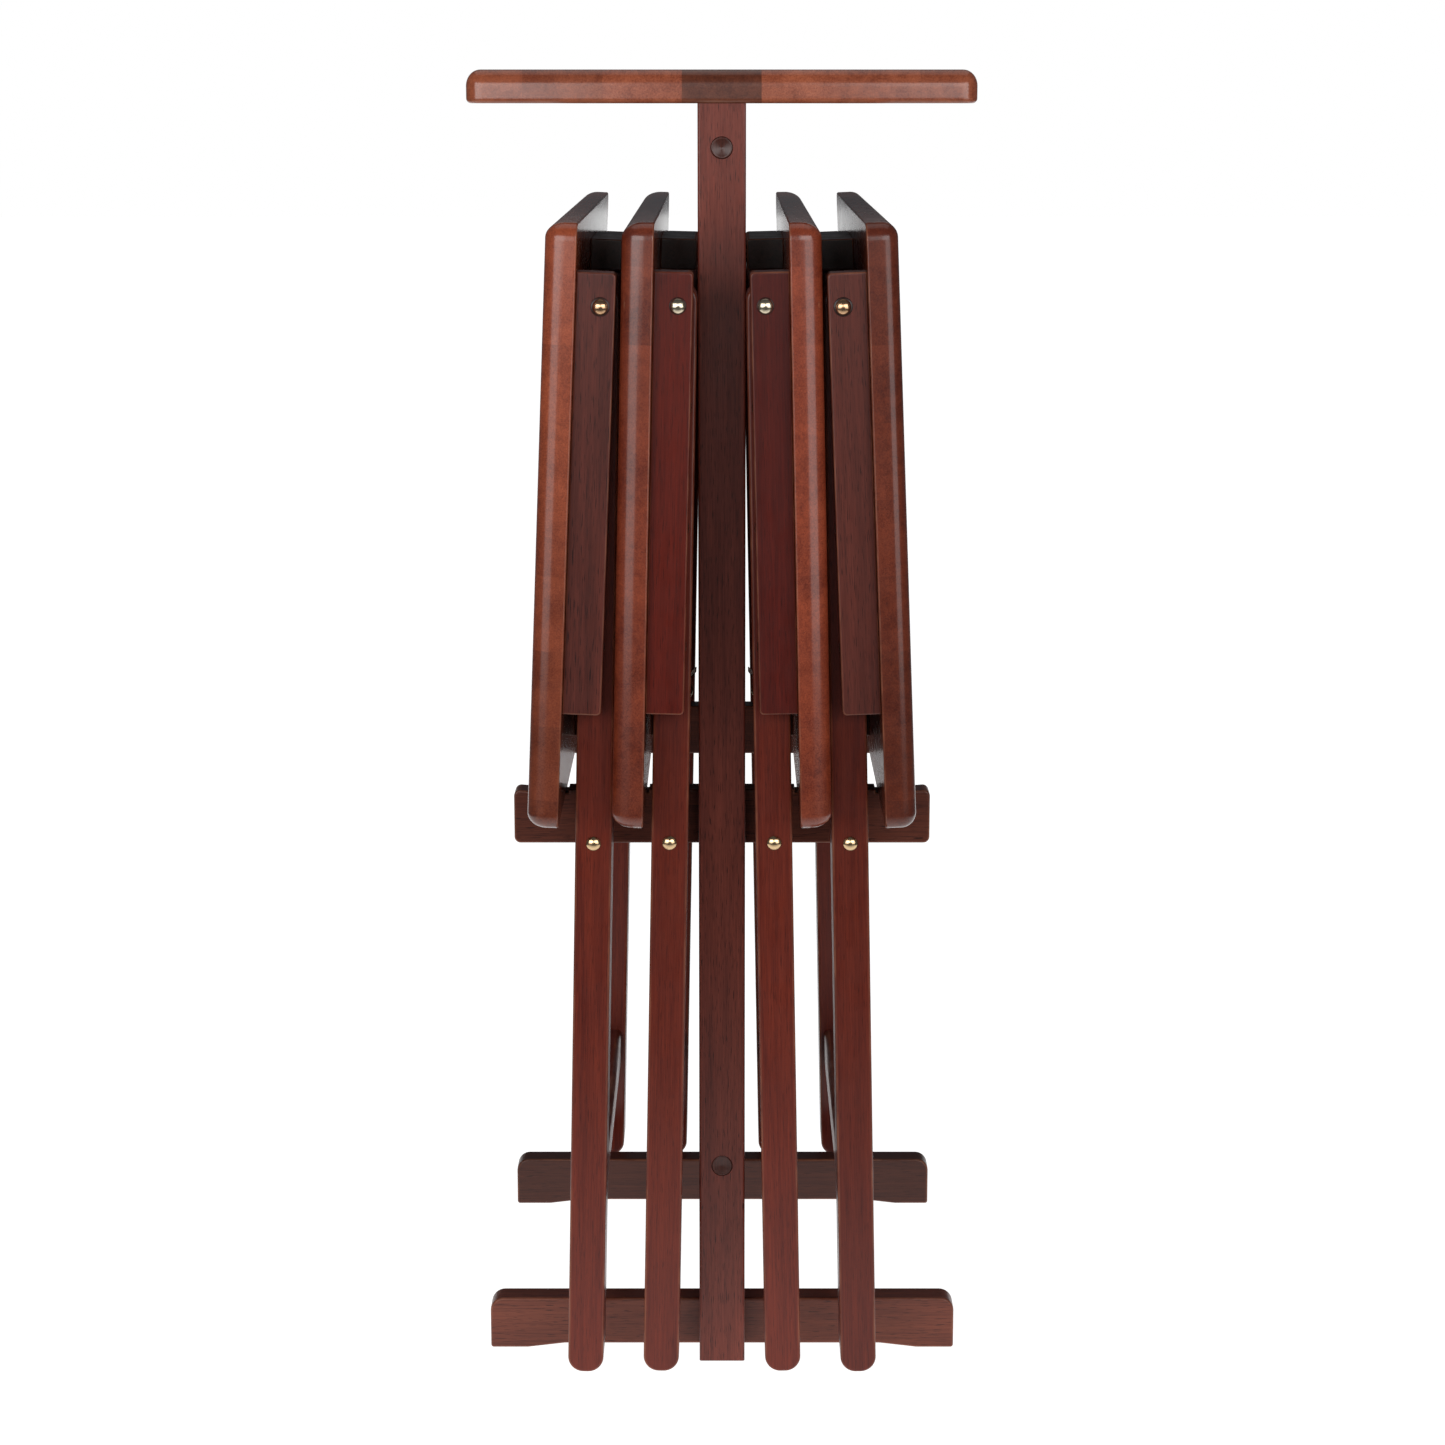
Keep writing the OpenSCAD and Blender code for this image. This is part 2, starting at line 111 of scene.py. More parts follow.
@dataclass(frozen=True)
class Outline:
    """A closed outline in a plane, given by its corners and a radius for each.

    Attributes:
        corners: Corner points, anticlockwise, in millimetres.
        radii: Fillet radius at each corner.
        steps: Steps in each corner's arc.
        support: Distance of the extra points beside each arc, which keep shading even.
    """

    corners: Array
    radii: Array
    steps: int = 8
    support: float = 0.8

    def edges(self) -> tuple[Array, Array]:
        """The edges that leave each corner.

        Returns:
            Their unit directions and their lengths.
        """
        run = np.roll(self.corners, -1, axis=0) - self.corners
        length = np.linalg.norm(run, axis=1)
        return run / length[:, None], length

    def inset(self, distance: float) -> "Outline":
        """Moves every edge inwards: each corner slides along its mitre, and a convex
        corner's radius shrinks by the distance while a concave one's grows.

        Args:
            distance: How far the edges move.

        Returns:
            The smaller outline.
        """
        ahead, _ = self.edges()
        behind = np.roll(ahead, 1, axis=0)
        normal = np.stack([ahead[:, 1], -ahead[:, 0]], axis=1)
        before = np.stack([behind[:, 1], -behind[:, 0]], axis=1)
        mitre = (normal + before) / (1 + (normal * before).sum(1))[:, None]
        turn = behind[:, 0] * ahead[:, 1] - behind[:, 1] * ahead[:, 0]
        radii = np.maximum(self.radii - np.sign(turn) * distance, SHARPEST)
        return replace(self, corners=self.corners - mitre * distance, radii=radii)

    def points(self) -> Array:
        """The outline's points.

        At each corner the arc is centre + r * (sin((1-s)w) * a + sin(s*w) * b) / sin(w)
        for s from 0 to 1, where a and b point from the centre to the arc's two ends and w
        is the angle between them. One support point stands before and after each arc.

        Returns:
            Points in an array of (corners * (steps + 3), 2).
        """
        ahead, length = self.edges()
        back = -np.roll(ahead, 1, axis=0)
        half = np.arccos(np.clip((ahead * back).sum(1), -STRAIGHT, STRAIGHT)) / 2
        reach = self.radii / np.tan(half)
        room = np.maximum(length - reach - np.roll(reach, -1), 0)
        free_ahead = np.minimum(self.support, room * SUPPORT_SHARE)
        free_back = np.roll(free_ahead, 1)
        middle = ahead + back
        middle /= np.linalg.norm(middle, axis=1)[:, None]
        centre = self.corners + middle * (self.radii / np.sin(half))[:, None]
        start = (self.corners + back * reach[:, None] - centre) / self.radii[:, None]
        end = (self.corners + ahead * reach[:, None] - centre) / self.radii[:, None]
        sweep = (math.pi - 2 * half)[:, None, None]
        s = np.linspace(0, 1, self.steps + 1)[None, :, None]
        arc = centre[:, None] + self.radii[:, None, None] * (
            np.sin((1 - s) * sweep) * start[:, None] + np.sin(s * sweep) * end[:, None]
        ) / np.sin(sweep)
        first = (self.corners + back * (reach + free_back)[:, None])[:, None]
        last = (self.corners + ahead * (reach + free_ahead)[:, None])[:, None]
        return np.concatenate([first, arc, last], axis=1).reshape(-1, 2)

    def sharpness(self) -> Array:
        """Which points lie on small corners, which count as edges for the pale rubbing and
        painted highlight.

        Returns:
            1 at such points and 0 at the others.
        """
        small = self.radii < WEAR_AND_SHEEN_CORNER
        each = np.ones((len(self.radii), self.steps + 3)) * small[:, None]
        each[:, [0, -1]] = 0
        return each.reshape(-1)


def bar_outline(width: float, height: float, radius: float | Sequence[float],
                centre: tuple[float, float] = (0.0, 0.0), steps: int = 8) -> Outline:
    """A rectangle's outline from its lower left corner, anticlockwise.

    Args:
        width: Size along the first axis.
        height: Size along the second axis.
        radius: One radius, or one for each corner.
        centre: The rectangle's middle.
        steps: Steps in each corner's arc.

    Returns:
        The outline.
    """
    signs = np.array([[-1, -1], [1, -1], [1, 1], [-1, 1]], float)
    corners = signs * [width / 2, height / 2] + np.array(centre)
    return Outline(corners, np.broadcast_to(np.asarray(radius, float), 4).copy(), steps)


def box_outline(low: tuple[float, float], high: tuple[float, float],
                radii: Sequence[float]) -> Outline:
    """A rectangle's outline between two corners.

    Args:
        low: Its lower left corner.
        high: Its upper right corner.
        radii: Radius of each corner, anticlockwise from the lower left.

    Returns:
        The outline.
    """
    (x0, y0), (x1, y1) = low, high
    return Outline(np.array([[x0, y0], [x1, y0], [x1, y1], [x0, y1]]), np.array(radii))


# ---- shells: vertex and face arrays before they become meshes ----

@dataclass
class Shell:
    """A closed surface as arrays.

    Attributes:
        points: Vertices in millimetres, or in metres once placed.
        loops: Vertex numbers of all faces, one face after another.
        totals: Number of vertices of each face.
        edge: How much each vertex belongs to an eased edge, from 0 to 1.
    """

    points: Array
    loops: Array
    totals: Array
    edge: Array

    def flipped(self) -> "Shell":
        """The same surface with its faces turned over."""
        return replace(self, loops=self.loops[::-1], totals=self.totals[::-1])

    def turned(self, signs: Sequence[int], order: Sequence[int] = (0, 1, 2)) -> "Shell":
        """The surface with its axes in a new order and with new signs.

        Args:
            signs: Sign of each new axis.
            order: Old axis that becomes each new one.

        Returns:
            The turned or mirrored surface, with its faces still outwards.
        """
        turn = np.eye(3)[list(order)] * np.array(signs)[:, None]
        shell = replace(self, points=self.points[:, list(order)] * signs)
        return shell.flipped() if np.linalg.det(turn) < 0 else shell

    def moved(self, x: float = 0.0, y: float = 0.0, z: float = 0.0) -> "Shell":
        """The surface moved by a local distance."""
        return replace(self, points=self.points + [x, y, z])

    def placed(self, place: Place) -> "Shell":
        """The surface in metres in the world's frame."""
        shell = replace(self, points=place.to_world(self.points))
        return shell.flipped() if place.mirrored() else shell


def joined(shells: Sequence[Shell]) -> Shell:
    """Several surfaces as one set of arrays.

    Args:
        shells: The surfaces.

    Returns:
        One surface of them all.
    """
    offsets = np.cumsum([0] + [len(s.points) for s in shells[:-1]])
    return Shell(
        np.concatenate([s.points for s in shells]),
        np.concatenate([s.loops + o for s, o in zip(shells, offsets)]),
        np.concatenate([s.totals for s in shells]),
        np.concatenate([s.edge for s in shells]),
    )


def both_ends(shell: Shell) -> Shell:
    """A piece at the front with its mirror image at the back."""
    return joined([shell, shell.turned(MIRROR_Y)])


def loft(rings: Array, edge: Array) -> Shell:
    """Joins rings of points into a closed surface: quad (i, j) spans ring i to i + 1 and
    point j to j + 1, and the first and last ring are closed with one face each.

    Args:
        rings: Points in an array of (rings, points, 3), anticlockwise seen from the last.
        edge: Edge mask in an array of (rings, points).

    Returns:
        The closed surface.
    """
    count, size = rings.shape[:2]
    i = np.arange(count - 1)[:, None] * size
    j = np.arange(size)[None, :]
    k = (j + 1) % size
    quads = np.stack([i + j, i + k, i + size + k, i + size + j], axis=-1).reshape(-1)
    base = np.arange(size)
    loops = np.concatenate([quads, base[::-1], base + (count - 1) * size])
    totals = np.concatenate([np.full((count - 1) * size, 4), [size, size]])
    return Shell(rings.reshape(-1, 3), loops, totals, edge.reshape(-1))


def slab(outline: Outline, thickness: float, lower: float, upper: float,
         steps: int = 6, support: float = 0.8, drop: float = 0.0) -> Shell:
    """A board on an outline, with its lower and upper edges rounded over.

    A quarter circle runs round the lower edge: inset r * (1 - sin a) at height
    r * (1 - cos a), for a from 0 to a right angle. A quarter ellipse runs round the upper
    one: inset r * (1 - cos a) at height t - d * (1 - sin a). One more ring lies inside
    each flat face and one beside each arc.

    Args:
        outline: The board's outline at full size.
        thickness: Its thickness, from height 0.
        lower: Radius of the lower edge.
        upper: Radius of the upper edge, along the upper face.
        steps: Steps in each quarter circle.
        support: Distance of the extra rings.
        drop: Radius of the upper edge down the side, or 0 where it is the same.

    Returns:
        The board, with the outline's axes as X and Y and its thickness along Z.
    """
    drop = drop or upper
    a = np.linspace(0, QUARTER, steps + 1)
    inset = np.concatenate([
        [lower + support], lower * (1 - np.sin(a)), [0, 0], upper * (1 - np.cos(a)),
        [upper + support],
    ])
    height = np.concatenate([
        [0], lower * (1 - np.cos(a)), [lower + support, thickness - drop - support],
        thickness - drop * (1 - np.sin(a)), [thickness],
    ])
    # The edge mask paints the small rounded edges pale: rubbing, plus a painted highlight.
    arc = np.sin(2 * a)
    edge = np.concatenate([[0], arc, [0, 0], arc * (upper < WEAR_AND_SHEEN_EDGE), [0]])
    rings = np.stack([outline.inset(d).points() for d in inset])
    lift = np.broadcast_to(height[:, None, None], rings.shape[:2] + (1,))
    side = np.abs(height - thickness / 2) < thickness / 2 - TOUCH
    wear_and_sheen = np.maximum(edge[:, None], outline.sharpness() * side[:, None])
    return loft(np.concatenate([rings, lift], axis=2), wear_and_sheen)


def slab_along_y(outline: Outline, y0: float, thickness: float, ease: float,
                 steps: int = 4) -> Shell:
    """A board whose outline lies in X and Z, with its thickness along Y from y0.

    Args:
        outline: Outline with X as its first axis and Z as its second.
        y0: Where the thickness starts.
        thickness: The thickness along +Y.
        ease: Radius of all its edges.
        steps: Steps in each rounded edge.

    Returns:
        The board.
    """
    shell = slab(outline, thickness, ease, ease, steps, support=0.5)
    return shell.turned(MIRROR_Y, (0, 2, 1)).moved(y=y0 + thickness)


def turned_piece(profile: Array, segments: int = 40) -> Shell:
    """A piece turned on a lathe: profile point (r, d) becomes the circle
    (r * cos f, d, r * sin f) round the Y axis, for f from 0 to a full turn.

    Args:
        profile: Radii and places along +Y, from one end to the other.
        segments: Points in each circle.

    Returns:
        The closed surface.
    """
    f = np.linspace(0, 2 * math.pi, segments, endpoint=False)
    radius, along = np.asarray(profile, float).T
    x = radius[:, None] * np.cos(f)
    z = radius[:, None] * np.sin(f)
    y = np.broadcast_to(along[:, None], x.shape)
    return loft(np.stack([x, y, z], axis=2), np.zeros_like(x)).flipped()


def domed_profile(radius: float, height: float, skirt: float, steps: int = 9) -> Array:
    """Profile of a domed head whose flat face lies at 0 and whose top points along -Y.

    The dome is a cap of the sphere through its rim and its top, r = R * sin(a), and the
    skirt is the short cylinder under it.

    Args:
        radius: The head's radius.
        height: The whole height of the head.
        skirt: Height of the straight rim.
        steps: Steps from the top to the rim.

    Returns:
        Radii and places along Y.
    """
    cap = height - skirt
    ball = (radius * radius + cap * cap) / (2 * cap)
    a = np.linspace(0.03, 1, steps) * math.asin(min(radius / ball, 1))
    dome = np.stack([ball * np.sin(a), -height + ball * (1 - np.cos(a))], axis=1)
    return np.concatenate([dome, [[radius, -skirt / 2], [radius, 0]]])


def cross_head(radius: float, height: float, slot: float = 0.7, rings: int = 11,
               segments: int = 48) -> Shell:
    """A low screw head on the plane z = 0 with a cross recess.

    The face is z = h * (1 - (r / R)^4) - d * s, where s falls evenly from 1 inside the
    cross, min(|x|, |y|) < slot and r < 0.62 R, to 0 outside it.

    Args:
        radius: The head's radius.
        height: Its height above the plane.
        slot: Half width of the recess.
        rings: Rings from the rim to the middle.
        segments: Points in each ring.

    Returns:
        The head, with its face towards +Z.
    """
    cross_reach, reach_blend, wall_blend, depth, sunk = 0.62, 0.08, 0.35, 0.85, 0.3
    share = np.linspace(1, 0.03, rings)[:, None]
    f = np.linspace(0, 2 * math.pi, segments, endpoint=False)[None, :]
    x, y = radius * share * np.cos(f), radius * share * np.sin(f)
    inside = (slot - np.minimum(np.abs(x), np.abs(y))) / (wall_blend * slot)
    arm = np.clip(inside + 0.5, 0, 1)
    reach = np.clip((cross_reach - share) / reach_blend + 0.5, 0, 1)
    z = height * (1 - share ** 4) - (depth * height) * arm * reach
    foot = np.stack([x[0], y[0], np.full(segments, -sunk)], axis=1)[None]
    face = np.concatenate([foot, np.stack([x, y, z], axis=2)])
    return loft(face, np.zeros(face.shape[:2]))


# ---- finishes ----

class Grain(Enum):
    """Local axis that the fibres of a piece run along.

    Each value is the order in which the axes are taken, the fibres' own axis first.
    """

    ALONG_X = (0, 1, 2)
    ALONG_Y = (1, 2, 0)
    ALONG_Z = (2, 0, 1)


@dataclass(frozen=True)
class StainedWood:
    """A stained and lacquered hardwood.

    Attributes:
        light: Colour of the pale parts of the grain, linear.
        dark: Colour of the dark parts of the grain, linear.
        pore: Strength of the dark pore dashes.
        figure: Strength of the broad figure.
        gloss: Roughness of the lacquer.
        coat: Weight of the lacquer.
        stave: Width of the glued staves in millimetres, or 0 for solid wood.
        tones: Lightness of the staves, one after another.
        first: Number of the first stave in tones, where stave 0 has the origin.
        slot: The record's material slot; not used.
    """

    light: Colour
    dark: Colour
    pore: float = 0.5
    figure: float = 0.5
    gloss: float = 0.24
    coat: float = 0.35
    stave: float = 0.0
    tones: tuple[float, ...] = ()
    first: int = -1
    slot: str = "stained_wood"


@dataclass(frozen=True)
class Metal:
    """A plain metal.

    Attributes:
        colour: Base colour, linear.
        tarnish: Colour of the tarnished parts, linear.
        roughness: Lowest roughness.
        slot: The record's material slot; not used.
    """

    colour: Colour
    tarnish: Colour
    roughness: float
    slot: str = "brass"


@dataclass(frozen=True)
class Cut:
    """How a wooden piece was cut from its plank.

    Attributes:
        grain: Local axis that the fibres run along.
        seed: Number that gives the piece a grain of its own.
        tone: How much lighter or darker than its finish the piece is.
    """

    grain: Grain
    seed: float
    tone: float = 1.0


RED_BROWN = StainedWood((0.145, 0.020, 0.009), (0.062, 0.007, 0.004), gloss=0.2)
DEEP_RED = StainedWood((0.120, 0.010, 0.004), (0.048, 0.004, 0.002), gloss=0.2, coat=0.3)
WINE_RED = StainedWood((0.090, 0.008, 0.004), (0.036, 0.003, 0.002), gloss=0.2, coat=0.3)
POST_BROWN = StainedWood((0.200, 0.042, 0.026), (0.072, 0.014, 0.010), pore=0.9)
PLUM = StainedWood((0.125, 0.026, 0.017), (0.048, 0.010, 0.007), pore=0.9)
UMBER = StainedWood((0.150, 0.038, 0.020), (0.060, 0.014, 0.009), pore=0.8)
# Near-black wood is painted shade: for the blocks deep in the gaps between the tops, and the
# thin rings behind the bolt heads.
SHADE_BLACK = StainedWood((0.040, 0.013, 0.008), (0.014, 0.005, 0.003), coat=0.4)
PLUG_BROWN = StainedWood((0.085, 0.022, 0.014), (0.030, 0.008, 0.005), coat=0.5,
                         slot="plug_wood")
# The tables' stave tones run from the folded top's upper end down, and on every table they fall
# towards its lower end.
RED_BOARD = StainedWood((0.270, 0.052, 0.021), (0.100, 0.014, 0.006), gloss=0.17, coat=0.9,
                        stave=47, tones=(0.86, 0.88, 0.93, 0.99, 1.02, 0.98, 0.9, 0.8,
                                         0.74))
ORANGE_BOARD = replace(RED_BOARD, light=(0.320, 0.070, 0.028), dark=(0.130, 0.022, 0.009),
                       tones=(1.12, 1.2, 1.1, 1.0, 0.92, 0.82, 0.7, 0.58, 0.52))
WARM_BOARD = replace(RED_BOARD, tones=(1.02, 1.1, 1.13, 1.16, 1.12, 1.05, 1.0, 0.92, 0.8))
DARK_BOARD = replace(RED_BOARD, coat=0.7,
                     tones=(0.70, 0.72, 0.74, 0.78, 0.8, 0.72, 0.62, 0.54, 0.5))
TOP_BOARD = replace(RED_BOARD, light=(0.420, 0.115, 0.052), dark=(0.170, 0.034, 0.015),
                    pore=0.45, figure=0.6, stave=49,
                    tones=(0.88, 0.78, 0.98, 0.36, 0.96, 0.88, 0.84), first=-3)
BRASS = Metal((0.66, 0.47, 0.27), (0.36, 0.20, 0.09), 0.12)
COPPERY = Metal((0.60, 0.37, 0.21), (0.30, 0.14, 0.06), 0.14)
PALE_BRASS = Metal((0.66, 0.58, 0.43), (0.36, 0.28, 0.17), 0.14)
STEEL = Metal((0.55, 0.55, 0.57), (0.28, 0.27, 0.27), 0.26, "steel")
BRONZED = Metal((0.13, 0.09, 0.07), (0.06, 0.04, 0.03), 0.32, "steel")


# ---- shader node groups ----

class Nodes:
    """Short calls for adding nodes to a tree and linking them."""

    def __init__(self, tree: NodeTree) -> None:
        """Keeps the tree that nodes are added to."""
        self.tree = tree

    @classmethod
    def emptied(cls, owner: Material | bpy.types.World) -> "Nodes":
        """Turns on the nodes of a material or a world and clears them."""
        owner.use_nodes = True
        owner.node_tree.nodes.clear()
        return cls(owner.node_tree)

    def add(self, kind: str, settings: dict | None = None,
            inputs: dict | None = None) -> Node:
        """Adds a node.

        Args:
            kind: Its type, without the ShaderNode prefix.
            settings: Attributes to set on it.
            inputs: Values or output sockets for its inputs, by name or number.

        Returns:
            The new node.
        """
        prefix = "" if kind.startswith("NodeGroup") else "ShaderNode"
        node = self.tree.nodes.new(prefix + kind)
        for name, value in (settings or {}).items():
            setattr(node, name, value)
        for name, value in (inputs or {}).items():
            if isinstance(value, Socket):
                self.tree.links.new(value, node.inputs[name])
            else:
                node.inputs[name].default_value = value
        return node

    def math(self, operation: str, a: object, b: object = 0.0) -> Socket:
        """The result of a Math node on two values or sockets."""
        return self.add("Math", {"operation": operation}, {0: a, 1: b}).outputs[0]

    def times(self, a: object, b: object) -> Socket:
        """The product of two values or sockets."""
        return self.math("MULTIPLY", a, b)

    def scaled(self, vector: object, factors: Point,
               shift: object = (0.0, 0.0, 0.0)) -> Socket:
        """A vector times three factors, plus a shift."""
        return self.add("VectorMath", {"operation": "MULTIPLY_ADD"},
                        {0: vector, 1: factors, 2: shift}).outputs[0]

    def noise(self, vector: object, detail: float = 3.0, rough: float = 0.55,
              distortion: float = 0.0) -> Socket:
        """The value of a Noise texture, from 0 to 1."""
        return self.add("TexNoise", inputs={
            "Vector": vector, "Scale": 1.0, "Detail": detail, "Roughness": rough,
            "Distortion": distortion}).outputs[0]

    def ramp(self, value: object, low: float, high: float, to_low: float = 0.0,
             to_high: float = 1.0) -> Socket:
        """A value mapped smoothly from one range to another, held at its ends."""
        return self.add("MapRange", {"interpolation_type": "SMOOTHSTEP"}, {
            "Value": value, "From Min": low, "From Max": high, "To Min": to_low,
            "To Max": to_high}).outputs[0]

    def mix(self, factor: object, a: object, b: object,
            blend: str = "MIX") -> Socket:
        """The colour of a Mix node."""
        return self.add("Mix", {"data_type": "RGBA", "blend_type": blend},
                        {0: factor, 6: a, 7: b}).outputs[2]

    def grey(self, value: object) -> Socket:
        """A value as a grey colour."""
        return self.add("CombineColor", inputs=dict.fromkeys(range(3), value)).outputs[0]

    def surface(self, shader: Node, output: str = "OutputMaterial") -> None:
        """Hands a shader to the tree's output."""
        self.add(output, inputs={"Surface": shader.outputs[0]})


def new_group(name: str, inputs: dict[str, float | None], outputs: dict[str, str],
              ) -> tuple[NodeTree, Nodes, bpy.types.bpy_prop_collection]:
    """A shader node group with its sockets.

    Args:
        name: Its name.
        inputs: Default of each number that goes in, or None where it is a vector.
        outputs: Kind of each value that comes out, Float or Vector.

    Returns:
        The group, the helper that fills it and the sockets of its inputs.
    """
    group = bpy.data.node_groups.new(name, "ShaderNodeTree")
    for key, default in inputs.items():
        kind = "Vector" if default is None else "Float"
        socket = group.interface.new_socket(name=key, in_out="INPUT",
                                            socket_type=f"NodeSocket{kind}")
        if default is not None:
            socket.default_value = default
    for key, kind in outputs.items():
        group.interface.new_socket(name=key, in_out="OUTPUT",
                                   socket_type=f"NodeSocket{kind}")
    n = Nodes(group)
    return group, n, n.add("NodeGroupInput").outputs


# Each layer of the grain: waves per metre along and across the fibres, and the noise's
# detail, roughness and distortion. The strengths say how much a layer moves the tone.
BROAD_FIGURE = ((3.2, 30.0, 30.0), 2.0, 0.5, 0.6)
YEAR_RINGS = ((5.0, 150.0, 150.0), 3.0, 0.6, 0.4)
FINE_FIBRES = ((26.0, 900.0, 900.0), 2.0, 0.6, 0.0)
PORE_DASHES = ((95.0, 1900.0, 1900.0), 1.0, 0.5, 0.0)
BROAD_STRENGTH, RING_STRENGTH, FIBRE_STRENGTH = 2.4, 1.9, 1.25
SEED_SHIFT = (3.17, 7.91, 1.63)
MIDDLE_TONE = 0.52
PORE_START, PORE_FULL = 0.60, 0.70
FIBRE_HEIGHT = 0.45
STAVE_SHIFT = (4.0, 4.0, 4.0)
JOINT_SHARE = 0.010         # half of a glue line, as a share of the stave
HEADROOM = 2.0              # tones are halved in their colour ramp, which stops at 1


def build_grain_group() -> NodeTree:
    """Wood fibres along X: broad figure, fine streaks and short dark pores.

    Inputs are a vector in metres, a seed and the figure's strength. Outputs are Tone,
    which runs from 0 in dark grain to 1 in pale grain, Pores and Height. The tone is the
    middle tone plus strength * (noise - 0.5) of each layer but the pores.

    Returns:
        The group.
    """
    group, n, given = new_group("wood_grain", {"Vector": None, "Seed": 0.0, "Figure": 0.5},
                                {"Tone": "Float", "Pores": "Float", "Height": "Float"})
    shift = n.add("CombineXYZ", inputs={
        axis: n.times(given["Seed"], step) for axis, step in enumerate(SEED_SHIFT)})
    broad, rings, fibre, pore = (
        n.noise(n.scaled(given["Vector"], waves, shift.outputs[0]), *rest)
        for waves, *rest in (BROAD_FIGURE, YEAR_RINGS, FINE_FIBRES, PORE_DASHES))
    spread, band = (
        n.times(n.math("SUBTRACT", layer, 0.5), n.times(given["Figure"], strength))
        for layer, strength in ((broad, BROAD_STRENGTH), (rings, RING_STRENGTH)))
    fine = n.times(n.math("SUBTRACT", fibre, 0.5), FIBRE_STRENGTH)
    tone = n.math("ADD", n.math("ADD", n.math("ADD", spread, band), fine), MIDDLE_TONE)
    clamp = n.add("Clamp", inputs={"Value": tone}).outputs[0]
    pores = n.ramp(pore, PORE_START, PORE_FULL)
    height = n.math("SUBTRACT", n.times(fibre, FIBRE_HEIGHT), pores)
    n.add("NodeGroupOutput", inputs={"Tone": clamp, "Pores": pores, "Height": height})
    return group


def build_stave_group() -> NodeTree:
    """Glued staves counted along X: stave number = floor(x / width + 0.5).

    Outputs are Number, Joint, which is 1 in the thin line between staves, and Shift, the
    random vector that gives each stave a grain of its own.

    Returns:
        The group.
    """
    group, n, given = new_group(
        "glued_staves", {"Position": 0.0, "Width": 0.04, "Seed": 0.0},
        {"Number": "Float", "Joint": "Float", "Shift": "Vector"})
    place = n.math("ADD", n.math("DIVIDE", given["Position"], given["Width"]), 0.5)
    number = n.math("FLOOR", place)
    white = n.add("TexWhiteNoise", {"noise_dimensions": "1D"},
                  {"W": n.math("ADD", number, given["Seed"])})
    share = n.math("FRACT", place)
    border = n.math("MINIMUM", share, n.math("SUBTRACT", 1.0, share))
    n.add("NodeGroupOutput", inputs={
        "Number": number, "Joint": n.ramp(border, 0.0, JOINT_SHARE, 1.0, 0.0),
        "Shift": n.scaled(white.outputs["Color"], STAVE_SHIFT)})
    return group


def build_wear_and_sheen_group() -> NodeTree:
    """Pale edges, part rubbing and part painted highlight: the edge mask broken up by
    noise. Its output is 1 where the lacquer is thin and the edge palest.

    Returns:
        The group.
    """
    waves, low, high, least = (38.0, 60.0, 60.0), 0.36, 0.68, 0.25
    group, n, given = new_group("edge_wear_and_sheen", {"Vector": None, "Amount": 0.4},
                                {"WornAndSheen": "Float"})
    mask = n.add("Attribute", {"attribute_name": "edge"}).outputs["Fac"]
    patch = n.ramp(n.noise(n.scaled(given["Vector"], waves)), low, high, least, 1.0)
    worn_and_sheen = n.times(n.times(mask, patch), given["Amount"])
    n.add("NodeGroupOutput", inputs={"WornAndSheen": worn_and_sheen})
    return group


def build_tarnish_group() -> NodeTree:
    """Tarnish on metal: cloudy patches and fine scratches.

    Returns:
        The group.
    """
    cloud, hairlines, low, high = (420.0, 420.0, 420.0), (3000.0, 500.0, 900.0), 0.50, 0.72
    group, n, given = new_group("metal_tarnish", {"Vector": None},
                                {"Patch": "Float", "Scratch": "Float"})
    patch = n.ramp(n.noise(n.scaled(given["Vector"], cloud)), low, high)
    scratch = n.noise(n.scaled(given["Vector"], hairlines), 2.0)
    n.add("NodeGroupOutput", inputs={"Patch": patch, "Scratch": scratch})
    return group


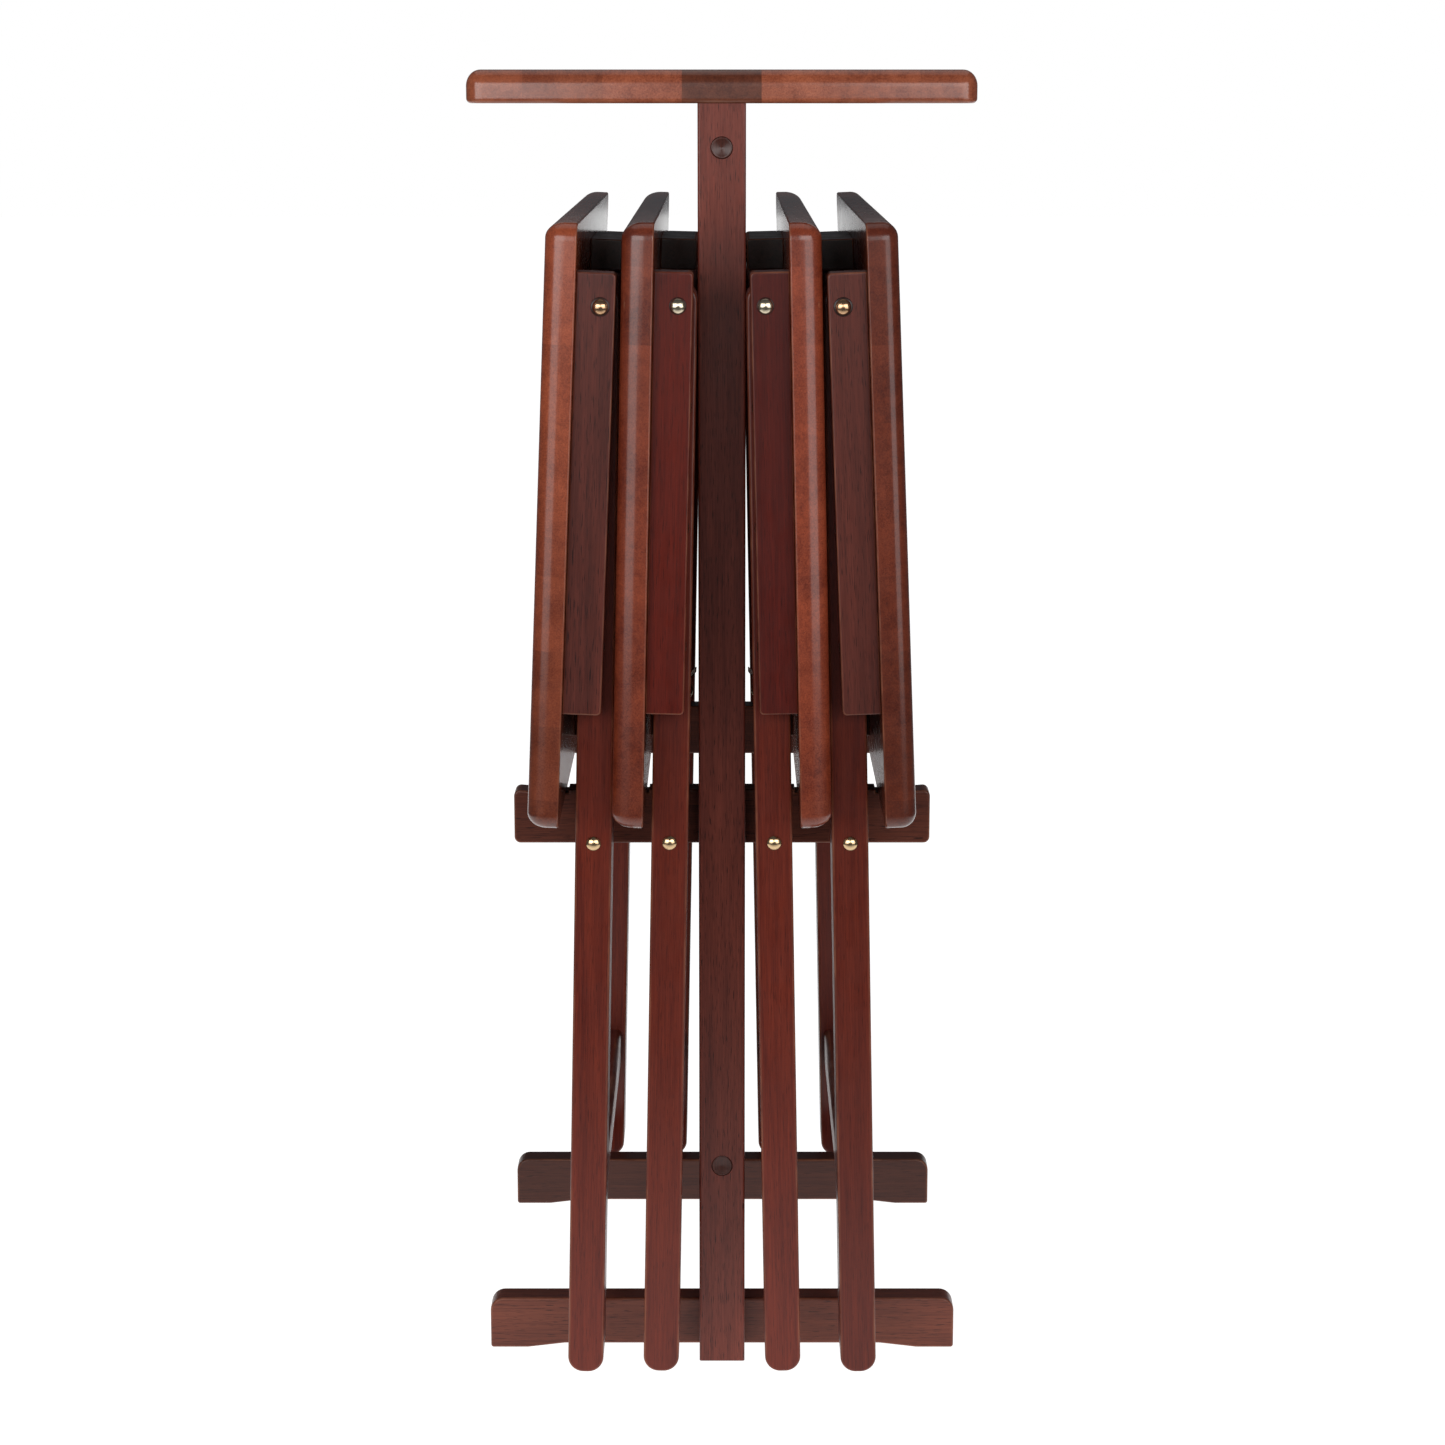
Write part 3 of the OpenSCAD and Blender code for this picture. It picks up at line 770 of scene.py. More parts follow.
@dataclass
class Workshop:
    """The shared shader groups and the materials made from them.

    Attributes:
        bare_and_sheen: Pale colour of the masked edges: thin stain, plus a painted edge
            highlight.
        wear_and_sheen_amount: How strongly the masked edges take that pale colour.
        thinned: Share of the lacquer that a masked edge loses.
        pore_shade: Lightness of the pores beside the dark grain.
        matt: Roughness on top of the lacquer's, lowest and highest, and matt_range the
            noise at which each is reached.
        matt_waves: Waves per metre of the matt patches.
        relief: Strength of the grain's relief, and relief_depth its depth in metres.
        wood_shine: Specular level of the wood under its lacquer, and wood_ior its IOR.
        joint_shade: How much the glue lines darken.
        tarnished: Weight of the tarnished patches.
        scratched: Roughness that scratches add to a metal.
    """

    grain: NodeTree
    staves: NodeTree
    wear_and_sheen: NodeTree
    tarnish: NodeTree
    # Pale edge colour: rubbing, plus a painted highlight along the small eased edges.
    bare_and_sheen: Colour = (0.30, 0.115, 0.062)
    wear_and_sheen_amount: float = 0.5
    thinned: float = 0.5
    pore_shade: float = 0.35
    matt: tuple[float, float] = (0.16, 0.30)
    matt_range: tuple[float, float] = (0.3, 0.7)
    matt_waves: Point = (60.0, 90.0, 90.0)
    relief: float = 0.15
    relief_depth: float = 0.0002
    wood_shine: float = 0.12
    wood_ior: float = 1.5
    joint_shade: float = 0.16
    tarnished: float = 0.4
    scratched: float = 0.14

    @classmethod
    def open(cls) -> "Workshop":
        """Builds every shared group once."""
        return cls(build_grain_group(), build_stave_group(), build_wear_and_sheen_group(),
                   build_tarnish_group())

    def finished(self, name: str, finish: StainedWood | Metal, place: Place,
                 cut: Cut | None) -> Material:
        """The material of one piece.

        Args:
            name: Name of the piece.
            finish: Its wood or metal.
            place: Frame of the piece, which turns the grain with it.
            cut: How it was cut, where it is wood.

        Returns:
            The material.
        """
        if isinstance(finish, Metal):
            return self.metal(name + "_metal", finish)
        return self.wood(name + "_wood", finish, place, cut)

    @staticmethod
    def along_grain(n: Nodes, place: Place, grain: Grain) -> Socket:
        """Object coordinates in a piece's own frame, with X along its fibres.

        Args:
            n: Helper of the material's tree.
            place: Frame of the piece.
            grain: Local axis of the fibres.

        Returns:
            The coordinates as a vector socket.
        """
        axes = place.axes.copy()
        if place.mirrored():
            axes[1] = -axes[1]
        turn = Matrix([list(axes[i]) for i in grain.value]).transposed().to_euler()
        return n.add("Mapping", {"vector_type": "TEXTURE"}, {
            "Vector": n.add("TexCoord").outputs["Object"],
            "Location": Vector(place.origin), "Rotation": turn}).outputs[0]

    def wood(self, name: str, finish: StainedWood, place: Place,
             cut: Cut) -> Material:
        """A stained wood whose fibres follow a piece.

        Args:
            name: Name of the material.
            finish: The stain and lacquer.
            place: Frame of the piece.
            cut: How the piece was cut.

        Returns:
            The material.
        """
        material = bpy.data.materials.new(name)
        n = Nodes.emptied(material)
        local = vector = self.along_grain(n, place, cut.grain)
        staves = None
        if finish.stave:
            split = n.add("SeparateXYZ", inputs={0: local})
            across = split.outputs[cut.grain.value.index(0)]
            staves = n.add("Group", {"node_tree": self.staves}, {
                "Position": across, "Width": finish.stave * MM, "Seed": cut.seed})
            vector = n.add("VectorMath", {"operation": "ADD"},
                           {0: local, 1: staves.outputs["Shift"]}).outputs[0]
        fibres = n.add("Group", {"node_tree": self.grain}, {
            "Vector": vector, "Seed": cut.seed, "Figure": finish.figure})
        colour = n.mix(fibres.outputs["Tone"], (*finish.dark, 1), (*finish.light, 1))
        if staves:
            tones = self.stave_tones(n, staves, finish, cut.tone)
            colour = n.mix(1.0, colour, tones, "MULTIPLY")
        elif cut.tone != 1.0:
            colour = n.mix(1.0, colour, (cut.tone,) * 3 + (1,), "MULTIPLY")
        pores = n.times(fibres.outputs["Pores"], finish.pore)
        pore_colour = tuple(self.pore_shade * c for c in finish.dark)
        colour = n.mix(pores, colour, (*pore_colour, 1))
        # Pale edges: rubbing, plus a painted highlight along the small eased edges.
        worn_and_sheen = n.add("Group", {"node_tree": self.wear_and_sheen}, {
            "Vector": local, "Amount": self.wear_and_sheen_amount}).outputs["WornAndSheen"]
        colour = n.mix(worn_and_sheen, colour, (*self.bare_and_sheen, 1))
        rough = n.ramp(n.noise(n.scaled(local, self.matt_waves)), *self.matt_range,
                       *(finish.gloss + more for more in self.matt))
        bump = n.add("Bump", inputs={
            "Strength": self.relief, "Distance": self.relief_depth,
            "Height": fibres.outputs["Height"]})
        coat = n.times(n.math("SUBTRACT", 1.0, n.times(worn_and_sheen, self.thinned)), finish.coat)
        n.surface(n.add("BsdfPrincipled", inputs={
            "Base Color": colour, "Roughness": rough, "Normal": bump.outputs[0],
            "Coat Weight": coat, "Coat Roughness": finish.gloss, "IOR": self.wood_ior,
            "Specular IOR Level": self.wood_shine}))
        return material

    def stave_tones(self, n: Nodes, staves: Node, finish: StainedWood,
                    tone: float) -> Socket:
        """A grey that is one tone on each stave and darker in the joints.

        Args:
            n: Helper of the material's tree.
            staves: The placed stave group.
            finish: The wood.
            tone: Lightness of the whole piece.

        Returns:
            The grey as a colour socket.
        """
        count = len(finish.tones)
        place = n.math("DIVIDE", n.math("ADD", staves.outputs["Number"],
                                        0.5 - finish.first), float(count))
        ramp = n.add("ValToRGB", inputs={0: place})
        ramp.color_ramp.interpolation = "CONSTANT"
        stops = ramp.color_ramp.elements
        for index, value in enumerate(finish.tones):
            stop = stops[index] if index < 2 else stops.new(index / count)
            stop.position = index / count
            stop.color = (value * tone / HEADROOM,) * 3 + (1,)
        joint = n.math("SUBTRACT", HEADROOM,
                       n.times(staves.outputs["Joint"], self.joint_shade))
        return n.mix(1.0, ramp.outputs[0], n.grey(joint), "MULTIPLY")

    def metal(self, name: str, finish: Metal) -> Material:
        """A metal with faint tarnish.

        Args:
            name: Name of the material.
            finish: Its colours and polish.

        Returns:
            The material.
        """
        material = bpy.data.materials.new(name)
        n = Nodes.emptied(material)
        marks = n.add("Group", {"node_tree": self.tarnish}, {
            "Vector": n.add("TexCoord").outputs["Object"]})
        colour = n.mix(n.times(marks.outputs["Patch"], self.tarnished),
                       (*finish.colour, 1), (*finish.tarnish, 1))
        rough = n.math("ADD", finish.roughness,
                       n.times(marks.outputs["Scratch"], self.scratched))
        n.surface(n.add("BsdfPrincipled", inputs={
            "Base Color": colour, "Metallic": 1.0, "Roughness": rough}))
        return material


# ---- pieces ----

def make_piece(name: str, shell: Shell, material: Material, body: str,
               replaces: Sequence[str] = ()) -> None:
    """Args:
        name: Name of the piece.
        shell: Its surface, in metres.
        material: Its material.
        body: The CAD body that it rides on.
        replaces: CAD nodes that it stands for.
    """
    mesh = bpy.data.meshes.new(name)
    mesh.vertices.add(len(shell.points))
    mesh.vertices.foreach_set("co", shell.points.astype(np.float32).ravel())
    mesh.loops.add(len(shell.loops))
    mesh.loops.foreach_set("vertex_index", shell.loops.astype(np.int32))
    mesh.polygons.add(len(shell.totals))
    starts = np.concatenate([[0], np.cumsum(shell.totals)[:-1]])
    mesh.polygons.foreach_set("loop_start", starts.astype(np.int32))
    mesh.polygons.foreach_set("use_smooth", np.ones(len(shell.totals), bool))
    mesh.update(calc_edges=True)
    mesh.validate()
    mark = mesh.attributes.new("edge", "FLOAT", "POINT")
    mark.data.foreach_set("value", shell.edge.astype(np.float32))
    mesh.materials.append(material)
    piece = bpy.data.objects.new(name, mesh)
    bpy.context.scene.collection.objects.link(piece)
    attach(piece, body)
    if replaces:
        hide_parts(*replaces)
    LOG.info("%s: %d faces on %s", name, len(shell.totals), body)


def node_box(name: str) -> tuple[Array, Array]:
    """A CAD node's lowest and highest corners in millimetres."""
    low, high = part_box(name)
    return np.array(low) / MM, np.array(high) / MM


@dataclass
class Assembly:
    """What the stand and the tables share: how a piece is finished and handed over.

    Attributes:
        shop: The workshop that makes the finishes.
    """

    shop: Workshop

    @property
    def prefix(self) -> str:
        """What the names of the assembly's pieces, CAD nodes and bodies begin with."""
        return ""

    def add(self, name: str, shell: Shell, place: Place, finish: StainedWood | Metal,
            body: str, node: str = "", cut: Cut | None = None) -> None:
        """Makes one piece with its finish. All its names go without the prefix.

        Args:
            name: Name of the piece.
            shell: Its surface in its local frame, in millimetres.
            place: The local frame.
            finish: Its wood or metal.
            body: The body that it rides on.
            node: The CAD node that it stands for, if any.
            cut: How it was cut, where it is wood.
        """
        full = self.prefix + name
        make_piece(full, shell.placed(place), self.shop.finished(full, finish, place, cut),
                   self.prefix + body, [self.prefix + node] if node else [])

    def dress(self, node: str, finish: StainedWood | Metal, cut: Cut | None = None) -> None:
        """Gives a CAD node that stays a better material.

        Args:
            node: The node's name without the prefix.
            finish: Its wood or metal.
            cut: How it was cut, where it is wood.
        """
        full = self.prefix + node
        mesh = frame["nodes"][full].data
        mesh.materials.clear()
        mesh.materials.append(self.shop.finished(full, finish, world_place(), cut))
        LOG.info("%s: dressed", full)


@dataclass
class Stand(Assembly):
    """The stand: posts, feet, arms, rails, top board, plugs and screws. Sizes in mm.

    The seats are the places of the notches' inner walls on one side, inner then outer.
    A name that ends in _r is a radius. The cuts of the feet and arms are front, then rear, and
    their tones are painted light and shade: the front foot lighter, the rear foot and arm
    darker.
    """

    seats: Sequence[float]
    ease: float = 1.6
    board_edge: float = 9.0
    board_drop: float = 10.0
    board_lower: float = 3.0
    board_corner: float = 10.0
    foot_top_r: float = 9.0
    foot_sole_r: float = 1.8
    foot_bend_r: float = 14.0
    foot_pad: float = 25.0
    foot_slope: float = 25.0
    foot_relief: float = 3.0
    # The front foot's raised tone is painted light, and the low tones of the rear foot and arm
    # are painted shade.
    foot_cuts_and_shading: tuple[Cut, Cut] = (Cut(Grain.ALONG_X, 21.0, 1.2),
                                  Cut(Grain.ALONG_X, 22.5, 0.45))
    arm_r: float = 4.0
    arm_ease: float = 0.8
    arm_cuts_and_shading: tuple[Cut, Cut] = (Cut(Grain.ALONG_X, 31.0, 0.85),
                                 Cut(Grain.ALONG_X, 32.5, 0.5))
    notch_depth: float = 2.2
    notch_flat: float = 12.5
    notch_ramp: float = 22.0
    notch_lip: float = 0.12
    ramp_r: float = 4.0
    ramp_top_r: float = 6.0
    wall_foot_r: float = 0.3
    wall_top_r: float = 0.4
    plug_r: float = 6.93
    plug_rim: float = 0.9
    plug_dish: float = 1.3
    plug_len: float = 4.7
    screw_r: float = 3.9
    screw_rise: float = 0.6
    screw_gap: float = 14.0
    board_screw_y: float = 60.0
    board_screw_lift: float = 24.0

    def build(self) -> None:
        """Makes and dresses every part of the stand."""
        self.dress_posts_and_rails()
        self.make_top_board()
        for end, foot_cut, arm_cut in zip(("front", "rear"), self.foot_cuts_and_shading, self.arm_cuts_and_shading):
            self.make_foot(end, foot_cut)
            self.make_arm(end, arm_cut)
        self.make_plugs()
        self.make_screws()

    def dress_posts_and_rails(self) -> None:
        """Gives the posts, the rails and their hidden fittings their finishes."""
        for seed, post in enumerate(("front_post", "rear_post"), 11):
            self.dress(post, POST_BROWN, Cut(Grain.ALONG_Z, float(seed)))
        for seed, rail in enumerate(("upper_rail", "lower_rail"), 15):
            self.dress(rail, UMBER, Cut(Grain.ALONG_Y, float(seed), 0.8))
        self.dress("rail_fittings", STEEL)

    def make_top_board(self) -> None:
        """The top board: a slab with rounded corners and a rounded upper edge."""
        low, high = node_box("top_board")
        size = high - low
        board = slab(bar_outline(size[0], size[1], self.board_corner, steps=10), size[2],
                     self.board_lower, self.board_edge, steps=12, drop=self.board_drop)
        self.add("board_with_rounded_edges", board.moved(z=low[2]), world_place(),
                 TOP_BOARD, "stand", "top_board", Cut(Grain.ALONG_Y, 4.0))

    def make_foot(self, end: str, cut: Cut) -> None:
        """One foot: rounded above, with pads at its ends and a relief between them.

        Args:
            end: front or rear.
            cut: How it was cut.
        """
        low, high = node_box(f"{end}_foot")
        x0, x1, top = low[0], high[0], high[2]
        pad, slope, rise = self.foot_pad, self.foot_slope, self.foot_relief
        corners = np.array([
            [x0, 0], [x0 + pad, 0], [x0 + pad + slope, rise], [x1 - pad - slope, rise],
            [x1 - pad, 0], [x1, 0], [x1, top], [x0, top]])
        radii = np.array([self.foot_sole_r] + [self.foot_bend_r] * 4
                         + [self.foot_sole_r] + [self.foot_top_r] * 2)
        shell = slab_along_y(Outline(corners, radii), low[1], high[1] - low[1], self.ease)
        self.add(f"{end}_foot_eased", shell, world_place(), UMBER, "stand", f"{end}_foot",
                 cut)

    def make_arm(self, end: str, cut: Cut) -> None:
        """One arm, with four notches for the tabletops, each with a ramp outwards.

        Args:
            end: front or rear.
            cut: How it was cut.
        """
        low, high = node_box(f"{end}_arm")
        half, bottom, top = high[0], low[2], high[2]
        deep = top - self.notch_depth
        inner, outer = self.seats
        right = [[half, bottom], [half, top - self.notch_lip],
                 [outer + self.notch_flat, deep], [outer, deep], [outer, top],
                 [inner + self.notch_flat + self.notch_ramp, top],
                 [inner + self.notch_flat, deep], [inner, deep], [inner, top]]
        notch_r = [self.ramp_r, self.wall_foot_r, self.wall_top_r]
        right_r = [self.arm_r] * 2 + notch_r + [self.ramp_top_r] + notch_r
        left = [[-x, z] for x, z in right[::-1]]
        outline = Outline(np.array(right + left), np.array(right_r + right_r[::-1]))
        shell = slab_along_y(outline, low[1], high[1] - low[1], self.ease * self.arm_ease)
        self.add(f"{end}_arm_notched", shell, world_place(), UMBER, "stand", f"{end}_arm",
                 cut)

    def plug_profile(self) -> Array:
        """Profile of a plug from the middle of its dished face to its inner end.

        The dish is d = depth * (1 - r / rim)^0.8 below the rim, and a small quarter circle
        eases the rim.

        Returns:
            Radii and places along +Y.
        """
        rim = self.plug_r - self.plug_rim
        share = np.linspace(0.02, 1, 8)
        dish = np.stack([rim * share, self.plug_dish * (1 - share) ** 0.8], axis=1)
        a = np.linspace(0, QUARTER, 5)
        round_over = self.plug_rim * np.stack([np.sin(a), 1 - np.cos(a)], axis=1)
        return np.concatenate([dish, round_over[1:] + [rim, 0],
                               [[self.plug_r, self.plug_len]]])

    def make_plugs(self) -> None:
        """Four dished plugs over the rail bolts, two in each post."""
        low, high = node_box("post_plugs")
        plug = turned_piece(self.plug_profile(), 56)
        front = joined([plug.moved(y=low[1], z=z)
                        for z in (low[2] + self.plug_r, high[2] - self.plug_r)])
        self.add("dished_plugs", both_ends(front), world_place(), PLUG_BROWN, "stand",
                 "post_plugs", Cut(Grain.ALONG_Z, 41.0))

    def make_screws(self) -> None:
        """Low cross-headed screws through the feet and the arms into the posts, and two
        through the upper rail into the top board."""
        head = cross_head(self.screw_r, self.screw_rise)
        facing = head.turned(*FACE_BACK)
        heads = []
        for node in ("front_foot", "front_arm"):
            low, high = node_box(node)
            heads += [facing.moved(x=side * self.screw_gap / 2, y=high[1],
                                   z=(low[2] + high[2]) / 2) for side in (-1, 1)]
        low, _ = node_box("upper_rail")
        under = head.turned(FACE_DOWN)
        board = [under.moved(y=y, z=low[2] + self.board_screw_lift)
                 for y in (-self.board_screw_y, self.board_screw_y)]
        self.add("stand_screws", joined([both_ends(joined(heads)), *board]), world_place(),
                 STEEL, "stand", "frame_screws")


@dataclass
class TrayTable(Assembly):
    """One folded tray table. Sizes in mm, and its places come from its joints.

    A name that ends in _r is a radius, and _t, _w and _h are a piece's own thickness,
    width and height. A screw is its radius, its rise and half the width of its slots, a
    clip's line its places along the top with their shares of the flare, and radii run
    anticlockwise from the lower left corner.
    """

    number: int
    board: StainedWood
    legs: StainedWood
    batten: StainedWood
    tone: float = 1.0
    inner_tone: float = 0.9
    top_length: float = 485.0
    top_width: float = 374.0
    top_t: float = 19.5
    top_edge: float = 9.5
    top_drop: float = 13.5
    top_lower: float = 1.2
    top_corner: float = 10.0
    pivot_inset: float = 49.5
    pivot_drop: float = 15.0
    batten_len: float = 272.0
    batten_h: float = 24.0
    batten_t: float = 19.0
    batten_inset: float = 6.0
    batten_lead: float = 20.5
    batten_ease: float = 1.2
    batten_radii: tuple[float, ...] = (3.0, 3.0, 0.8, 0.8)
    block_len: float = 93.0
    block_ease: float = 0.9
    rest_w: float = 20.7
    rest_radii: tuple[float, ...] = (2.0, 2.0, 0.6, 0.6)
    latch_w: float = 21.0
    latch_radii: tuple[float, ...] = (0.8, 0.5, 2.0, 2.0, 0.6, 0.6)
    leg_w: float = 23.0
    leg_t: float = 18.0
    leg_end_r: float = 10.0
    leg_up: float = 338.0
    leg_down: float = 355.0
    crossbar_r: float = 9.0
    shoulder_r: float = 1.2
    tenon_r: float = 6.0
    tenon_chamfer: float = 0.8
    tenon_short: float = 4.0
    stretcher_h: float = 27.0
    stretcher_t: float = 16.0
    stretcher_r: float = 4.0
    stretcher_ease: float = 0.2
    stretcher_rise: float = 75.0
    pin_r: float = 3.0
    pin_chamfer: float = 0.4
    head_r: float = 4.7
    head_h: float = 2.6
    head_skirt: float = 0.5
    # A thin dark ring behind each upper bolt head is painted shade round it: its thickness and
    # its reach past the head.
    shade_ring_t: float = 0.3
    shade_ring_rim: float = 0.6
    outer_shade_ring_rim: float = 1.2
    gap: float = 0.5
    pivot_gap: float = 0.1
    bar_gap: float = 0.3
    face_gap: float = 0.4
    ease: float = 1.6
    open_angle: float = 24.2
    clip_line: tuple[tuple[float, float], ...] = ((-15, 0), (-4, 0), (3, 0.6), (11, 0),
                                                  (17, 1))
    clip_bends: tuple[float, ...] = (0.3, 3, 2.5, 1.2, 0.3, 0.3, 2, 1.7, 2.2, 0.3)
    clip_flare: float = 5.0
    outer_clip_flare: float = 1.6
    clip_t: float = 0.8
    clip_w: float = 16.0
    clip_ease: float = 0.15
    wood_screw: tuple[float, float] = (3.4, 0.55)
    clip_screw: Point = (2.1, 0.45, 0.4)
    batten_screws: tuple[float, ...] = (62, 136, 210)
    block_screw_y: float = 33.0
    clip_screw_x: float = 9.5
    clip_screw_y: float = 4.2

    def __post_init__(self) -> None:
        """Reads the pivots from the record's joints and works out the two frames."""
        joints = {j["name"]: j for j in frame["joints"]}
        middle, upper, slide = (
            np.array(joints[self.prefix + name][key], float) for name, key in (
                ("outer_leg_spread", "pos_m"), ("top_swing", "pos_m"),
                ("crossbar_slide", "axis")))
        side = math.copysign(1, middle[0])
        up = (upper - middle) / np.linalg.norm(upper - middle)
        out = np.array([side * up[2], 0, -side * up[0]])
        across = np.array([0.0, 1.0, 0.0])
        self.leg_place = Place(middle, np.stack([out, across, up]))
        down = slide / np.linalg.norm(slide)
        face = np.array([-side * down[2], 0, side * down[0]])
        self.top_place = Place(upper, np.stack([down, across, face]))
        self.batten_y0 = self.top_length / 2 - self.batten_inset - self.batten_t
        self.outer_y0 = self.batten_y0 - self.gap - self.leg_t
        self.inner_y0 = self.outer_y0 - self.gap - self.leg_t
        self.rest_x = -self.crossbar_r - self.bar_gap
        self.open_x = 2 * self.leg_up * math.sin(math.radians(self.open_angle))
        self.latch_x = self.open_x + self.crossbar_r + self.bar_gap
        self.block_face = self.crossbar_r + self.face_gap
        self.is_outer = self.number in (1, 4)

    @property
    def prefix(self) -> str:
        """What the names of this table's pieces, CAD nodes and bodies begin with."""
        return f"table_{self.number}_"

    def notch_wall(self, clearance: float = 1.5) -> float:
        """Where this table's notch has its wall: beside the folded top's lower corner.

        Args:
            clearance: Gap between the wall and the corner.

        Returns:
            The wall's place along X, in mm from the stand's middle.
        """
        corner = self.top_place.to_world(np.array([
            self.top_width - self.pivot_inset, 0, self.pivot_drop]))
        return corner[0] / MM - clearance

    def cut(self, grain: Grain, seed: float, tone: float = 1.0) -> Cut:
        """The cut of one piece, with this table's own seed and tone."""
        return Cut(grain, seed + 10.0 * self.number, tone * self.tone)

    def build(self) -> None:
        """Makes and dresses every piece of this table."""
        self.make_board()
        self.make_battens()
        self.make_blocks()
        self.make_clips()
        self.make_legs()
        self.make_crossbar()
        self.make_stretcher()
        self.make_bolts()
        self.make_small_screws()
        LOG.info("table %d: done", self.number)

    def make_board(self) -> None:
        """The tabletop: a slab with deeply rounded upper edges and eased lower ones."""
        outline = bar_outline(self.top_width, self.top_length, self.top_corner,
                              (self.top_width / 2 - self.pivot_inset, 0), steps=10)
        board = slab(outline, self.top_t, self.top_lower, self.top_edge, steps=14,
                     drop=self.top_drop)
        self.add("tray_board", board.moved(z=self.pivot_drop), self.top_place, self.board,
                 "top", "top", self.cut(Grain.ALONG_Y, 1.0))

    def make_battens(self) -> None:
        """Two battens under the top, with rounded lower corners and eased edges."""
        outline = box_outline(
            (-self.batten_lead, self.pivot_drop - self.batten_h),
            (-self.batten_lead + self.batten_len, self.pivot_drop), self.batten_radii)
        batten = slab_along_y(outline, -self.batten_y0 - self.batten_t, self.batten_t,
                              self.batten_ease)
        self.add("batten_pair", both_ends(batten), self.top_place, self.batten, "top",
                 "battens", self.cut(Grain.ALONG_X, 2.0))

    def make_blocks(self) -> None:
        """The rest block beside the pivot, and the stop with its ledge at the latch."""
        z0, z1 = -self.block_face, self.pivot_drop
        rest = box_outline((self.rest_x - self.rest_w, z0), (self.rest_x, z1),
                           self.rest_radii)
        start, ledge = self.open_x - self.crossbar_r, self.crossbar_r + self.bar_gap
        near, far = self.latch_x, self.latch_x + self.latch_w
        stop = Outline(np.array([[start, ledge], [near, ledge], [near, z0], [far, z0],
                                 [far, z1], [start, z1]]), np.array(self.latch_radii))
        for seed, (name, outline, node) in enumerate((
                ("rest_bar", rest, "rest_block"), ("latch_stop", stop, "latch_block")), 3):
            block = slab_along_y(outline, -self.block_len / 2, self.block_len,
                                 self.block_ease)
            # The blocks are near black: painted shade for their place deep in the gap between
            # the tops.
            self.add(name, block, self.top_place, SHADE_BLACK, "top", node,
                     self.cut(Grain.ALONG_Y, float(seed)))

    def clip(self) -> Shell:
        """A spring leaf: a strip that dips, rises to a crest and flares at its tip.

        Its line runs through points on the block's face, with an arc at each bend, and
        the strip has the same thickness all along. The outer tables' clips flare less,
        because the neighbouring top leaves less room.

        Returns:
            The leaf of the rest block, before it moves to its place.
        """
        flare = self.outer_clip_flare if self.is_outer else self.clip_flare
        face = np.array(self.clip_line) * [1, -flare]
        corners = np.concatenate([face - [0, self.clip_t], face[::-1]])
        strip = Outline(corners, np.array(self.clip_bends), steps=6, support=0.3)
        shell = slab_along_y(strip, -self.clip_w / 2, self.clip_w, self.clip_ease,
                             steps=2)
        return shell.moved(z=-self.block_face)

    def make_clips(self) -> None:
        """The leaves that hold the crossbar in the folded and in the open place."""
        leaf = self.clip()
        pair = [leaf.moved(x=self.rest_x), leaf.turned(MIRROR_X).moved(x=self.latch_x)]
        self.add("spring_clips", joined(pair), self.top_place, PALE_BRASS, "top",
                 "latch_clips")

    def leg(self, y0: float) -> Shell:
        """One front leg, with round ends and eased edges all round.

        Args:
            y0: Distance of its inner face from the middle.

        Returns:
            The leg.
        """
        length = self.leg_up + self.leg_w / 2 + self.leg_down
        outline = bar_outline(self.leg_w, length, self.leg_end_r,
                              (0, length / 2 - self.leg_down), steps=12)
        return slab_along_y(outline, -y0 - self.leg_t, self.leg_t, self.ease)

    def make_legs(self) -> None:
        """The outer and the inner pair of legs."""
        for seed, (pair, y0, tone) in enumerate((("outer_leg", self.outer_y0, 1.0),
                                                 ("inner_leg", self.inner_y0,
                                                  self.inner_tone)), 5):
            self.add(f"{pair}_pair", both_ends(self.leg(y0)), self.leg_place, self.legs,
                     f"{pair}s", f"{pair}s", self.cut(Grain.ALONG_Z, float(seed), tone))

    def make_crossbar(self) -> None:
        """The round crossbar with a tenon at each end and eased shoulders."""
        r, t = self.crossbar_r, self.tenon_r
        ease, slope = self.shoulder_r, self.tenon_chamfer
        half = self.inner_y0 - self.pivot_gap
        end = self.inner_y0 + self.leg_t - self.tenon_short
        a = np.linspace(0, QUARTER, 4)
        shoulder = np.stack([r - ease + ease * np.sin(a),
                             -half + ease * (1 - np.cos(a))], axis=1)
        one = np.concatenate([[[t - slope, -end], [t, -end + slope], [t, -half],
                               [r - ease, -half]], shoulder])
        bar = turned_piece(np.concatenate([one, one[::-1] * [1, -1]]), 48)
        self.add("round_crossbar", bar.moved(z=self.leg_up), self.leg_place, self.legs,
                 "crossbar", "crossbar", self.cut(Grain.ALONG_Y, 7.0, self.inner_tone))

    def make_stretcher(self) -> None:
        """The stretcher between the inner legs."""
        outline = bar_outline(self.stretcher_t, self.stretcher_h, self.stretcher_r, (
            0, self.stretcher_rise + self.stretcher_h / 2 - self.leg_down))
        shell = slab_along_y(outline, -self.inner_y0, 2 * self.inner_y0,
                             self.stretcher_ease, 2)
        self.add("flat_stretcher", shell, self.leg_place, self.legs, "inner_legs",
                 "stretcher", self.cut(Grain.ALONG_Y, 8.0))

    def bolt_pair(self, y0: float, reach: float) -> Shell:
        """Two bolts whose domed heads stand on the faces at y0 from the middle and whose
        shanks run inwards.

        Args:
            y0: The faces' distance from the middle.
            reach: Length of a shank.

        Returns:
            The front and the rear bolt.
        """
        head = domed_profile(self.head_r, self.head_h, self.head_skirt)
        slope = self.pin_chamfer
        shank = np.array([[self.head_r, 0.0], [self.pin_r, 0.02],
                          [self.pin_r, reach - slope], [self.pin_r - slope, reach]])
        bolt = turned_piece(np.concatenate([head[:-1], shank]), 44)
        return both_ends(bolt.moved(y=-y0))

